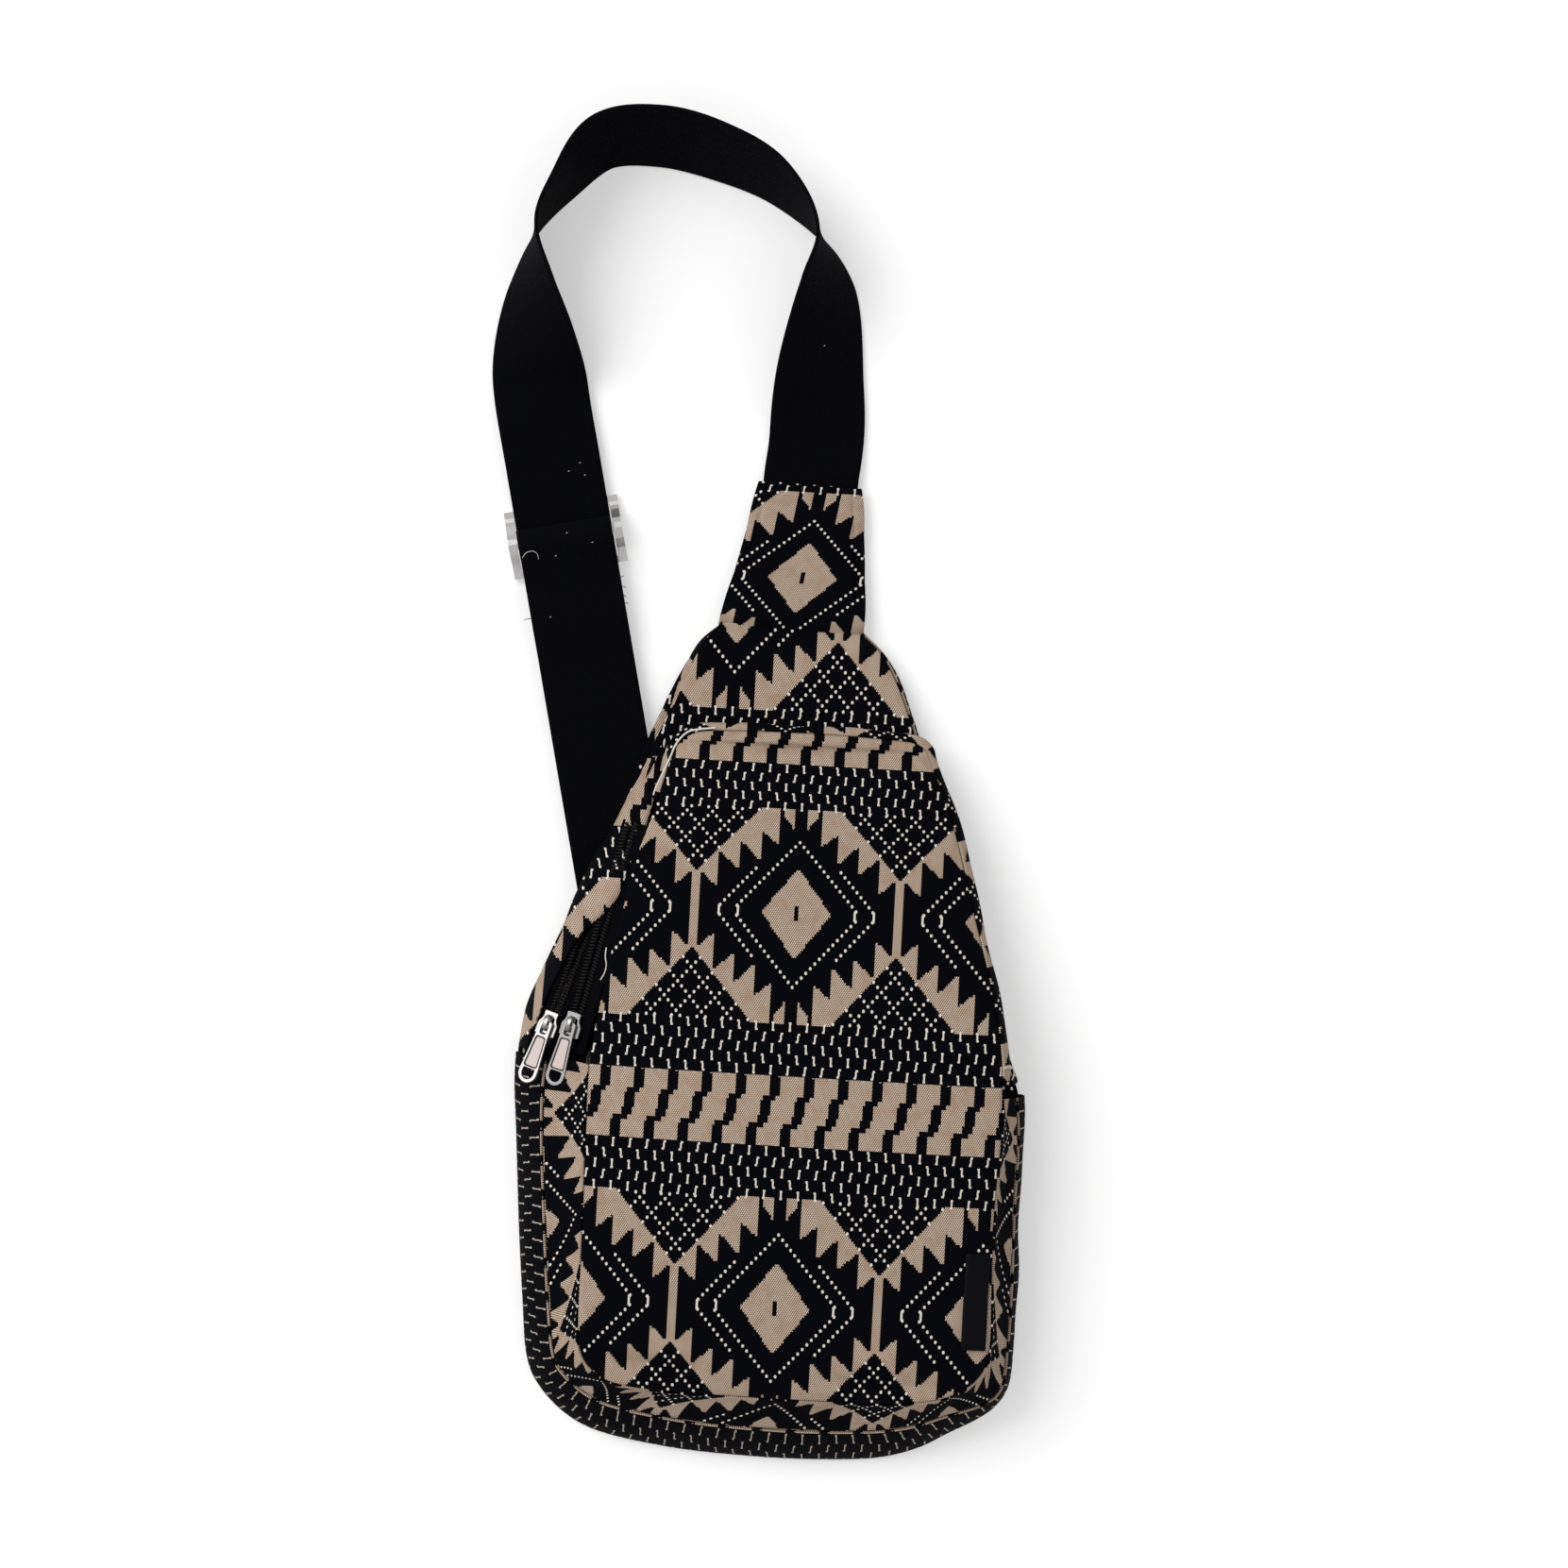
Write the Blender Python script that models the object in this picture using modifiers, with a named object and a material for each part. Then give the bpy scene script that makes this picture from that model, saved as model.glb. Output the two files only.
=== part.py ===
"""A soft crossbody sling bag lying on its back, with its webbing strap looped above it.

The bag is a teardrop body with a raised front pocket. Each compartment is closed by a coil zip
on the left side. One strap of webbing is sewn into the neck, runs round through a three-bar
adjuster, passes a ring at the lower back and returns to the adjuster. X runs across the bag,
+Y up it, and +Z out of its front. Lengths are in millimetres until MM turns them into metres.
"""

import math

import bmesh
import bpy
from mathutils import Matrix, Vector

MM = 0.001
GAP = 0.3

# Body of the bag, as it lies
BODY_WIDTH = 205.0
BODY_HEIGHT = 333.0
ORIGIN_HEIGHT = 150.0
BACK_THICKNESS = 2.0
CLOTH = 1.2
LINING = 0.6
LINING_INSET = 9.0
LINING_STAND = 1.4
SEAM_STAND = 1.3
POCKET_STAND = 1.6
MAIN_BULGE = 4.0
POCKET_BULGE = 7.0

# The outline of the back panel: height as a share of BODY_HEIGHT, then how far the edge lies to
# the left and to the right of the centre line, as shares of BODY_WIDTH.
BACK_OUTLINE = (
    (0.006, 0.220, 0.224),
    (0.012, 0.268, 0.263),
    (0.024, 0.337, 0.322),
    (0.042, 0.395, 0.361),
    (0.066, 0.444, 0.410),
    (0.099, 0.476, 0.451),
    (0.144, 0.488, 0.463),
    (0.225, 0.502, 0.467),
    (0.330, 0.517, 0.464),
    (0.420, 0.532, 0.463),
    (0.474, 0.534, 0.451),
    (0.514, 0.528, 0.425),
    (0.571, 0.498, 0.398),
    (0.625, 0.461, 0.356),
    (0.676, 0.422, 0.319),
    (0.721, 0.393, 0.300),
    (0.763, 0.360, 0.283),
    (0.811, 0.335, 0.259),
    (0.859, 0.312, 0.230),
    (0.907, 0.280, 0.200),
    (0.955, 0.244, 0.163),
    (1.000, 0.185, 0.098),
)

# The seam of the main front panel, at the same heights as the outline: how far it lies inside
# the outline at the left and at the right, how far above it, and its height at left and right.
MAIN_SEAM = (
    (0.006, 3.0, 2.0, 14.0, 22.0, 24.0),
    (0.012, 4.0, 2.0, 13.5, 22.0, 24.0),
    (0.024, 6.0, 2.5, 12.5, 22.0, 24.5),
    (0.042, 8.0, 2.5, 11.0, 22.0, 25.0),
    (0.066, 10.0, 2.5, 9.5, 22.5, 25.5),
    (0.099, 11.5, 2.0, 7.5, 22.5, 26.0),
    (0.144, 12.0, 1.5, 5.0, 23.0, 26.0),
    (0.225, 12.2, 1.0, 3.0, 23.0, 26.0),
    (0.330, 12.4, 1.0, 1.0, 22.5, 26.0),
    (0.420, 12.8, 1.0, 0.0, 19.5, 26.0),
    (0.474, 15.5, 1.0, 0.0, 17.6, 25.0),
    (0.514, 17.5, 1.0, 0.0, 16.9, 24.0),
    (0.763, 9.2, 1.0, 0.0, 12.2, 16.0),
    (0.811, 8.0, 1.0, 0.0, 12.0, 14.5),
    (0.859, 7.0, 1.0, 0.0, 11.8, 13.0),
    (0.907, 5.0, 1.0, 0.0, 11.0, 11.0),
    (0.955, 3.0, 0.8, 0.0, 9.0, 8.8),
    (1.000, 1.0, 0.6, 0.0, 6.5, 6.5),
)

# The seam of the pocket front panel: height share of the row, its left and right edges as
# shares of BODY_WIDTH, its own height up the body as a share, and its height at left and right.
POCKET_SEAM = (
    (0.006, 0.205, 0.220, 0.084, 34.0, 37.0),
    (0.012, 0.254, 0.268, 0.086, 34.0, 37.5),
    (0.024, 0.302, 0.327, 0.092, 34.0, 38.0),
    (0.042, 0.337, 0.368, 0.102, 34.5, 39.0),
    (0.066, 0.360, 0.395, 0.117, 35.0, 39.5),
    (0.099, 0.373, 0.410, 0.141, 35.0, 40.0),
    (0.144, 0.377, 0.414, 0.177, 35.0, 40.0),
    (0.225, 0.380, 0.413, 0.246, 35.0, 40.0),
    (0.330, 0.381, 0.412, 0.336, 34.0, 40.0),
    (0.420, 0.382, 0.415, 0.423, 30.5, 40.0),
    (0.474, 0.380, 0.413, 0.474, 27.8, 39.0),
    (0.514, 0.374, 0.405, 0.514, 27.0, 37.5),
    (0.571, 0.363, 0.386, 0.571, 26.5, 35.5),
    (0.625, 0.348, 0.347, 0.625, 26.3, 33.0),
    (0.676, 0.331, 0.312, 0.676, 26.8, 30.5),
    (0.721, 0.317, 0.292, 0.721, 27.2, 28.5),
    (0.763, 0.293, 0.275, 0.763, 27.6, 26.5),
    (0.811, 0.273, 0.251, 0.811, 26.5, 24.5),
    (0.847, 0.256, 0.232, 0.847, 23.0, 22.0),
    (0.868, 0.241, 0.205, 0.868, 20.0, 20.0),
)
POCKET_EDGE_STEP = 1.5
POCKET_TOP_RUN = 2.4
POCKET_SIDE_START = 0.795

# Neck piece, in two layers sewn over the strap's end
NECK_TOP = 392.0
NECK_TOP_LEFT = -23.8
NECK_TOP_RIGHT = 16.4
NECK_CLOTH = 1.5

# Webbing
WEBBING_WIDTH = 38.0
WEBBING = 1.5
STRAP_END_INSIDE = 20.0
STRAP_LINE_X = -76.5
STRAP_LINE_Y = 260.0
STRAP_LINE_LEAN = -0.2275
STRAP_LINE_TOP = 420.0
TAIL_LOW_END = 215.0
RING_Y = 95.0
LIFT_CLEARANCE = 0.7

# Where the webbing changes level behind the bag: below the tail, above the ring, and on its way
# back from the ring to the tail
DROP_BELOW_TAIL = 5.0
DROP_RAMP = 25.0
LEVEL_ABOVE_RING = 25.0
RETURN_LEVEL_RUN = 4.0
RETURN_RAMP = 18.0
SPLICE_RAMP = 26.0
SPLICE_LEVEL_RUN = 6.0

# The free loop of the strap from the neck to its straight run: across, up, and how far the
# webbing has rolled about its own length, in degrees.
STRAP_LOOP = (
    (-2.2, 408.0, 0.0),
    (-2.2, 433.0, -23.0),
    (-1.1, 470.5, -57.0),
    (-5.6, 490.0, -88.0),
    (-24.7, 510.5, -110.0),
    (-47.0, 520.5, -118.0),
    (-70.6, 525.3, -120.0),
    (-92.9, 522.0, -116.0),
    (-108.0, 504.0, -102.0),
    (-117.7, 486.6, -88.0),
    (-118.8, 464.0, -60.0),
    (-116.6, 442.0, -30.0),
)

# Three-bar adjuster and the ring
ADJUSTER_Y = 365.0
ADJUSTER_WIDTH = 46.0
ADJUSTER_LENGTH = 27.0
ADJUSTER_BAR = 2.7
ADJUSTER_CENTRE_BAR = 4.0
ADJUSTER_METAL = 1.8
TAIL_OVERLAP = 33.0
RING_WIDTH = 46.0
RING_LENGTH = 16.0
RING_BAR = 2.6
RING_METAL = 1.6
SLOT_PLAY = 0.6
TAB_LENGTH = 30.0

# Coil zips. Each line runs straight up the left side: where the closed slider sits, how the
# line leans across for each unit up, and how it climbs. The main zip's place and both leans are
# shares of the body's width and height, as its outline is, and the pocket zip lies beside it.
ZIP_TILT = math.radians(24.0)
MAIN_ZIP_START = (-0.46341 * BODY_WIDTH, 0.51201 * BODY_HEIGHT, 18.0)
MAIN_ZIP_LEAN = 0.51217 * BODY_WIDTH / BODY_HEIGHT
MAIN_ZIP_CLIMB = -0.060
MAIN_ZIP_LENGTH = 80.0
ZIP_SPACING = 9.5
ZIP_OFFSET = 0.5
ZIP_RISE = 4.0
POCKET_ZIP_START = (
    MAIN_ZIP_START[0] + ZIP_SPACING,
    MAIN_ZIP_START[1] + ZIP_OFFSET,
    MAIN_ZIP_START[2] + ZIP_RISE,
)
POCKET_ZIP_LEAN = 0.37507 * BODY_WIDTH / BODY_HEIGHT
POCKET_ZIP_CLIMB = 0.030
POCKET_ZIP_LENGTH = 84.0

# The bottom gussets meet the pieces above them a little below the closed sliders.
JOIN_BELOW_SLIDER = 12.5
GUSSET_JOIN = MAIN_ZIP_START[1] - JOIN_BELOW_SLIDER

# How far the seams keep to the zips' lines, below the sliders and past the zips' ends
MAIN_SEAM_BELOW_SLIDER = 4.0
POCKET_SEAM_BELOW_SLIDER = 12.0
SEAM_PAST_ZIP = 6.0
COIL_HALF = 2.9
COIL_SLIT = 0.5
COIL_HEIGHT = 1.1
COIL_PITCH = 2.5
COIL_GROOVE = 0.35
TAPE = 0.7
TAPE_WIDTH = 4.6
SEAM_TAPE_WIDTH = 1.3
EDGE_TAPE_WIDTH = 1.4
# The pocket's outer tape is narrow, so that the main zip's pull swings clear of it.
PULL_SIDE_TAPE_WIDTH = 0.9
TAPE_FOOT = 10.5
STOP_LENGTH = 2.6
SLIDER_WIDTH = 8.8
SLIDER_LENGTH = 10.0
SLIDER_NARROWING = 0.88
SLIDER_PLATE = 0.8
SLIDER_CLEARANCE = 0.4
SLIDER_LIP = 0.8
SLIDER_WEB = 0.4
CROWN_REACH = 3.4
CROWN_WIDTH = 1.6
CROWN_OPENING = 2.3
CROWN_METAL = 0.8
PULL_METAL = 1.2
PULL_LENGTH = 25.0
PULL_RING_WIDTH = 5.4
PULL_WIDTH = 8.0
PULL_BAR = 1.6
PULL_EYE = 3.6
PULL_HOLE = 5.0

# Label sewn at the pocket's right seam
LABEL_WIDTH = 9.8
LABEL_HEIGHT = 38.0
LABEL_CENTRE = 72.0
LABEL_CLOTH = 0.6
LABEL_INSET = 1.4

PANEL_COLUMNS = 12
BACK_COLUMNS = 26


def clear_scene():
    for thing in list(bpy.data.objects):
        bpy.data.objects.remove(thing, do_unlink=True)


def make_collection(name):
    collection = bpy.data.collections.new(name)
    bpy.context.scene.collection.children.link(collection)
    return collection


def make_material(name, colour, roughness, metallic=0.0):
    material = bpy.data.materials.new(name)
    material.use_nodes = True
    shader = material.node_tree.nodes["Principled BSDF"]
    shader.inputs["Base Color"].default_value = (*colour, 1.0)
    shader.inputs["Roughness"].default_value = roughness
    shader.inputs["Metallic"].default_value = metallic
    return material


def along(table, at, column):
    """The value of a table's column at this key, on a curve that never overshoots its points."""
    keys = [row[0] for row in table]
    values = [row[column] for row in table]
    if at <= keys[0]:
        return values[0]
    if at >= keys[-1]:
        return values[-1]
    index = max(i for i, key in enumerate(keys[:-1]) if key <= at)
    slopes = [(b - a) / (q - p) for a, b, p, q in zip(values, values[1:], keys, keys[1:])]

    def tangent(i):
        if i == 0:
            return slopes[0]
        if i == len(keys) - 1:
            return slopes[-1]
        before, after = slopes[i - 1], slopes[i]
        return 0.0 if before * after <= 0 else 2 * before * after / (before + after)

    span = keys[index + 1] - keys[index]
    t = (at - keys[index]) / span
    start, end = values[index], values[index + 1]
    return (
        start * (1 + 2 * t) * (1 - t) ** 2
        + end * t * t * (3 - 2 * t)
        + tangent(index) * span * t * (1 - t) ** 2
        - tangent(index + 1) * span * t * t * (1 - t)
    )


def mix(a, b, share):
    return a + (b - a) * share


def place(x, y, z):
    """A point given across, up from the bottom and out from the back, in the part's own frame."""
    return Vector((x, y - ORIGIN_HEIGHT, z)) * MM


def strap_line_x(y):
    return STRAP_LINE_X + STRAP_LINE_LEAN * (y - STRAP_LINE_Y)


# Heights of the layers of webbing, each by its underside
UNDER_LAYER = 0.0
RING_LEVEL = UNDER_LAYER + WEBBING + GAP
OVER_RING = RING_LEVEL + RING_METAL + GAP
SECOND_LAYER = UNDER_LAYER + WEBBING + GAP
RAISED_STRAP = ADJUSTER_METAL + 0.2 + GAP
RAISED_TAIL = RAISED_STRAP + WEBBING + GAP
BACK_LIFT = max(OVER_RING, RAISED_TAIL) + WEBBING + LIFT_CLEARANCE
LIFT_FLAT = WEBBING_WIDTH / 2 + 8.0
LIFT_RAMP = 13.0


def lift(x, y):
    """How far the back panel stands off, where it lies over the strap, the ring and its tab."""
    line = Vector((STRAP_LINE_LEAN, 1.0)).normalized()
    foot_y = RING_Y - TAB_LENGTH
    foot = Vector((strap_line_x(foot_y), foot_y))
    offset = Vector((x, y)) - foot
    run = max(0.0, offset.dot(line))
    distance = (offset - line * run).length
    share = min(1.0, max(0.0, (LIFT_FLAT + LIFT_RAMP - distance) / LIFT_RAMP))
    return BACK_LIFT * share * share * (3 - 2 * share)


def zip_x(start, lean, y):
    return start[0] + lean * (y - start[1])


def zip_z(start, climb, y):
    return start[2] + climb * (y - start[1])


def back_edge(share, side):
    """The back panel's edge at this share of the height, at the left (-1) or the right (1)."""
    column = 1 if side < 0 else 2
    x = side * along(BACK_OUTLINE, share, column) * BODY_WIDTH
    y = share * BODY_HEIGHT
    return x, y, lift(x, y)


# The main front panel's edge lies beside the slider's path and a little under the zip.
MAIN_ZIP_EDGE = SLIDER_WIDTH / 2 + 0.8
MAIN_SEAM_UNDER_ZIP = 2.0
POCKET_SEAM_OVER_TAPE = 0.7


def main_seam(share, side):
    """The main front panel's edge. Beside the main zip it follows the zip's line."""
    x, y, _ = back_edge(share, side)
    inside = along(MAIN_SEAM, share, 1 if side < 0 else 2)
    rise = along(MAIN_SEAM, share, 4 if side < 0 else 5)
    y += along(MAIN_SEAM, share, 3)
    x -= side * inside
    top = MAIN_ZIP_START[1] + MAIN_ZIP_LENGTH + SEAM_PAST_ZIP
    if side < 0 and MAIN_ZIP_START[1] - MAIN_SEAM_BELOW_SLIDER < y < top:
        x = max(x, zip_x(MAIN_ZIP_START, MAIN_ZIP_LEAN, y) + MAIN_ZIP_EDGE)
        rise = zip_z(MAIN_ZIP_START, MAIN_ZIP_CLIMB, y) - MAIN_SEAM_UNDER_ZIP
    return x, y, rise


def front_height(share, across):
    """The top of the main front panel at a share of its rows and of the way across."""
    left, right = main_seam(share, -1), main_seam(share, 1)
    bulge = MAIN_BULGE * 4 * across * (1 - across) * math.sin(math.pi * min(share, 1.0))
    return mix(left[2], right[2], across) + CLOTH + bulge


def pocket_seam(share, side):
    """The pocket front panel's edge, on top of the pocket zip's tape where that runs."""
    x = side * along(POCKET_SEAM, share, 1 if side < 0 else 2) * BODY_WIDTH
    y = along(POCKET_SEAM, share, 3) * BODY_HEIGHT
    z = along(POCKET_SEAM, share, 4 if side < 0 else 5)
    top = POCKET_ZIP_START[1] + POCKET_ZIP_LENGTH
    if side < 0 and POCKET_ZIP_START[1] - POCKET_SEAM_BELOW_SLIDER < y < top:
        beside = x - zip_x(POCKET_ZIP_START, POCKET_ZIP_LEAN, y)
        plane = zip_z(POCKET_ZIP_START, POCKET_ZIP_CLIMB, y) + beside * math.tan(ZIP_TILT)
        z = plane + TAPE / 2 + GAP + POCKET_SEAM_OVER_TAPE
    return x, y, z


def pocket_foot(share, side):
    """Where the pocket gusset stands on the main front panel."""
    x, y, _ = main_seam(share, side)
    if y < GUSSET_JOIN + 30:
        left, right = main_seam(share, -1)[0], main_seam(share, 1)[0]
        foot_x = x - side * POCKET_EDGE_STEP
        across = (foot_x - left) / (right - left)
        return foot_x, y + 0.8, front_height(share, across) + POCKET_STAND
    top_x, top_y, _ = pocket_seam(share, side)
    left, right = main_seam(share, -1)[0], main_seam(share, 1)[0]
    foot_x = top_x + side * 1.2
    limit = right - 0.8 if side > 0 else left + 0.8
    foot_x = min(foot_x, limit) if side > 0 else max(foot_x, limit)
    across = (foot_x - left) / (right - left)
    return foot_x, top_y, front_height(top_y / BODY_HEIGHT, across) + POCKET_STAND


def add_object(name, mesh, material, collection):
    thing = bpy.data.objects.new(name, mesh)
    thing.data.materials.append(material)
    collection.objects.link(thing)
    return thing


def add_shell(name, rows, thickness, material, collection, side=-1.0):
    """A sheet of cloth: a grid of points, thickened on the side away from its normals."""
    shape = bmesh.new()
    grid = [[shape.verts.new(point) for point in row] for row in rows]
    for low, high in zip(grid, grid[1:]):
        for a, b, c, d in zip(low, low[1:], high[1:], high):
            shape.faces.new((a, b, c, d))
    mesh = bpy.data.meshes.new(name)
    shape.to_mesh(mesh)
    shape.free()
    mesh.shade_smooth()
    thing = add_object(name, mesh, material, collection)
    solid = thing.modifiers.new("Thickness", "SOLIDIFY")
    solid.thickness = thickness * MM
    solid.offset = side
    return thing


def panel_rows(shares, left, right, bulge, row_shape, columns):
    """Points across a panel between its left and right edges, raised into a soft dome."""
    rows = []
    for share in shares:
        a, b = Vector(left(share)), Vector(right(share))
        row = []
        for step in range(columns + 1):
            across = step / columns
            point = a.lerp(b, across)
            point.z += bulge * 4 * across * (1 - across) * row_shape(share)
            row.append(place(*point))
        rows.append(row)
    return rows


def wall(name, pairs, material, collection, steps=2):
    """A gusset between two edges, given as pairs of points along its run."""
    rows = []
    for step in range(steps + 1):
        rows.append([place(*Vector(foot).lerp(Vector(head), step / steps)) for foot, head in pairs])
    return add_shell(name, rows, CLOTH, material, collection)


def raised(point, by):
    return point[0], point[1], point[2] + by


# Shares of the height at which every panel and gusset has a row
ROW_SHARES = tuple(row[0] for row in BACK_OUTLINE)
JOIN_SHARE = GUSSET_JOIN / BODY_HEIGHT


def build_back(cloth, lining, collection):
    rows = []
    for share in ROW_SHARES:
        left, right = back_edge(share, -1), back_edge(share, 1)
        row = []
        for step in range(BACK_COLUMNS + 1):
            x = mix(left[0], right[0], step / BACK_COLUMNS)
            row.append(place(x, left[1], lift(x, left[1])))
        rows.append(row)
    # The sheet's own points are its underside, which rests on the ground, so it thickens upwards.
    add_shell("back_panel", rows, BACK_THICKNESS, cloth, collection, side=1.0)

    inner = []
    for share in [s for s in ROW_SHARES if 0.04 < s < 0.98]:
        left, right = back_edge(share, -1), back_edge(share, 1)
        start, end = left[0] + LINING_INSET, right[0] - LINING_INSET
        row = []
        for step in range(BACK_COLUMNS + 1):
            x = mix(start, end, step / BACK_COLUMNS)
            row.append(place(x, left[1], lift(x, left[1]) + BACK_THICKNESS + LINING_STAND))
        inner.append(row)
    add_shell("main_lining_back", inner, LINING, lining, collection, side=1.0)


def gusset_base(share, side):
    return raised(back_edge(share, side), BACK_THICKNESS + SEAM_STAND)


def gusset_head(share, side):
    return raised(main_seam(share, side), -GAP)


def bottom_pairs(shares, foot, head, columns):
    """Pairs of points down the left side, along the bottom edge and up the right side."""
    left = [(foot(s, -1), head(s, -1)) for s in reversed(shares)]
    right = [(foot(s, 1), head(s, 1)) for s in shares]
    middle = []
    for step in range(1, columns):
        across = step / columns
        base = Vector(left[-1][0]).lerp(Vector(right[0][0]), across)
        top = Vector(left[-1][1]).lerp(Vector(right[0][1]), across)
        middle.append((base, top))
    return left + middle + right


def build_main_gusset(cloth, collection):
    low = [s for s in ROW_SHARES if s < JOIN_SHARE - 0.005] + [JOIN_SHARE]
    pairs = bottom_pairs(low, gusset_base, gusset_head, 8)
    wall("main_bottom_gusset", pairs, cloth, collection)
    high = [JOIN_SHARE + 0.6 / BODY_HEIGHT]
    high += [s for s in ROW_SHARES if s > JOIN_SHARE + 0.005]
    pairs = [(gusset_base(s, 1), gusset_head(s, 1)) for s in high]
    wall("main_side_gusset", pairs, cloth, collection)
    pairs = []
    for share in reversed(high):
        base = gusset_base(share, -1)
        head = gusset_head(share, -1)
        y = base[1]
        if y < MAIN_ZIP_START[1] + MAIN_ZIP_LENGTH + SEAM_PAST_ZIP:
            reach = SLIDER_WIDTH / 2 + 2 * GAP + CLOTH
            x = zip_x(MAIN_ZIP_START, MAIN_ZIP_LEAN, y) - reach * math.cos(ZIP_TILT) * 1.05
            drop = reach * math.sin(ZIP_TILT)
            z = zip_z(MAIN_ZIP_START, MAIN_ZIP_CLIMB, y) - drop + TAPE / 2 + GAP + CLOTH + 0.3
            head = (x, y, z)
        pairs.append((base, head))
    wall("main_zip_strip", pairs, cloth, collection)


def build_front(cloth, lining, collection):
    def row_shape(share):
        return math.sin(math.pi * min(share, 1.0))

    rows = panel_rows(
        ROW_SHARES,
        lambda s: raised(main_seam(s, -1), CLOTH),
        lambda s: raised(main_seam(s, 1), CLOTH),
        MAIN_BULGE,
        row_shape,
        PANEL_COLUMNS,
    )
    add_shell("main_front_panel", rows, CLOTH, cloth, collection)
    inner = panel_rows(
        [s for s in ROW_SHARES if 0.04 < s < 0.98],
        lambda s: raised(main_seam(s, -1), -0.5),
        lambda s: raised(main_seam(s, 1), -0.5),
        MAIN_BULGE,
        row_shape,
        PANEL_COLUMNS,
    )
    inner = [row[1:-1] for row in inner]
    add_shell("main_lining_front", inner, LINING, lining, collection)


def pocket_row_shape(share):
    top = POCKET_SEAM[-1][0]
    return math.sin(math.pi * min(1.0, max(0.0, share / top))) ** 0.5


def build_pocket(cloth, collection):
    shares = [row[0] for row in POCKET_SEAM]
    rows = panel_rows(
        shares,
        lambda s: raised(pocket_seam(s, -1), CLOTH),
        lambda s: raised(pocket_seam(s, 1), CLOTH),
        POCKET_BULGE,
        pocket_row_shape,
        PANEL_COLUMNS,
    )
    add_shell("pocket_front_panel", rows, CLOTH, cloth, collection)

    def head(share, side):
        return raised(pocket_seam(share, side), -GAP)

    low = [s for s in shares if s < JOIN_SHARE - 0.005] + [JOIN_SHARE]
    pairs = bottom_pairs(low, pocket_foot, head, 8)
    wall("pocket_bottom_gusset", pairs, cloth, collection)

    high = [JOIN_SHARE + 0.6 / BODY_HEIGHT] + [s for s in shares if s > JOIN_SHARE + 0.005]
    pairs = [(pocket_foot(s, 1), head(s, 1)) for s in high]
    right_end, left_end = pairs[-1], (pocket_foot(high[-1], -1), head(high[-1], -1))
    for step in range(1, 8):
        across = step / 8
        top = Vector(right_end[1]).lerp(Vector(left_end[1]), across)
        foot = Vector(right_end[0]).lerp(Vector(left_end[0]), across)
        foot.y += POCKET_TOP_RUN
        share = foot.y / BODY_HEIGHT
        left, right = main_seam(share, -1)[0], main_seam(share, 1)[0]
        foot.z = front_height(share, (foot.x - left) / (right - left)) + POCKET_STAND
        pairs.append((foot, top))
    ends = [s for s in shares if s > POCKET_SIDE_START]
    pairs += [(pocket_foot(s, -1), head(s, -1)) for s in reversed(ends)]
    wall("pocket_side_gusset", pairs, cloth, collection)


def zip_frame(start, lean, climb):
    """Across, along and out of a zip, as a matrix whose origin is where the slider sits."""
    run = Vector((lean, 1.0, climb)).normalized()
    flat = Vector((1.0, -lean, 0.0)).normalized()
    across = flat * math.cos(ZIP_TILT) + Vector((0, 0, math.sin(ZIP_TILT)))
    across = (across - run * across.dot(run)).normalized()
    out = across.cross(run)
    frame = Matrix((across, run, out)).transposed().to_4x4()
    frame.translation = place(*start)
    return frame


def prism(name, outline, low, high, axis, material, collection, frame):
    """A flat outline pushed from low to high along an axis: 0 across, 1 along or 2 out."""
    shape = bmesh.new()
    corners = []
    for u, v in outline:
        spots = {0: (low, u, v), 1: (u, low, v), 2: (u, v, low)}
        corners.append(shape.verts.new(Vector(spots[axis]) * MM))
    face = shape.faces.new(corners)
    pushed = bmesh.ops.extrude_face_region(shape, geom=[face])
    moved = [item for item in pushed["geom"] if isinstance(item, bmesh.types.BMVert)]
    shift = Vector((0, 0, 0))
    shift[axis] = (high - low) * MM
    bmesh.ops.translate(shape, verts=moved, vec=shift)
    bmesh.ops.recalc_face_normals(shape, faces=shape.faces)
    mesh = bpy.data.meshes.new(name)
    shape.to_mesh(mesh)
    shape.free()
    thing = add_object(name, mesh, material, collection)
    thing.matrix_world = frame
    return thing


def box(name, low, high, material, collection, frame):
    outline = ((low[0], low[1]), (high[0], low[1]), (high[0], high[1]), (low[0], high[1]))
    return prism(name, outline, low[2], high[2], 2, material, collection, frame)


def boolean(thing, other, operation):
    other.hide_render = True
    other.display_type = "WIRE"
    cut = thing.modifiers.new(other.name, "BOOLEAN")
    cut.operation = operation
    cut.object = other
    cut.solver = "EXACT"


def coil_half(name, side, low, high, material, collection, frame):
    """One side of the chain: a bar with a groove between every two turns of the coil."""
    turns = round((high - low) / COIL_PITCH)
    pitch = (high - low) / turns
    outline = [(low, -COIL_HEIGHT), (high, -COIL_HEIGHT)]
    for turn in reversed(range(turns)):
        start = low + turn * pitch
        outline.append((start + pitch, COIL_HEIGHT - COIL_GROOVE))
        outline.append((start + pitch * 0.5, COIL_HEIGHT))
    outline.append((low, COIL_HEIGHT - COIL_GROOVE))
    inner, outer = COIL_SLIT * side, COIL_HALF * side
    edges = (min(inner, outer), max(inner, outer))
    prism(name, outline, edges[0], edges[1], 0, material, collection, frame)


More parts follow.
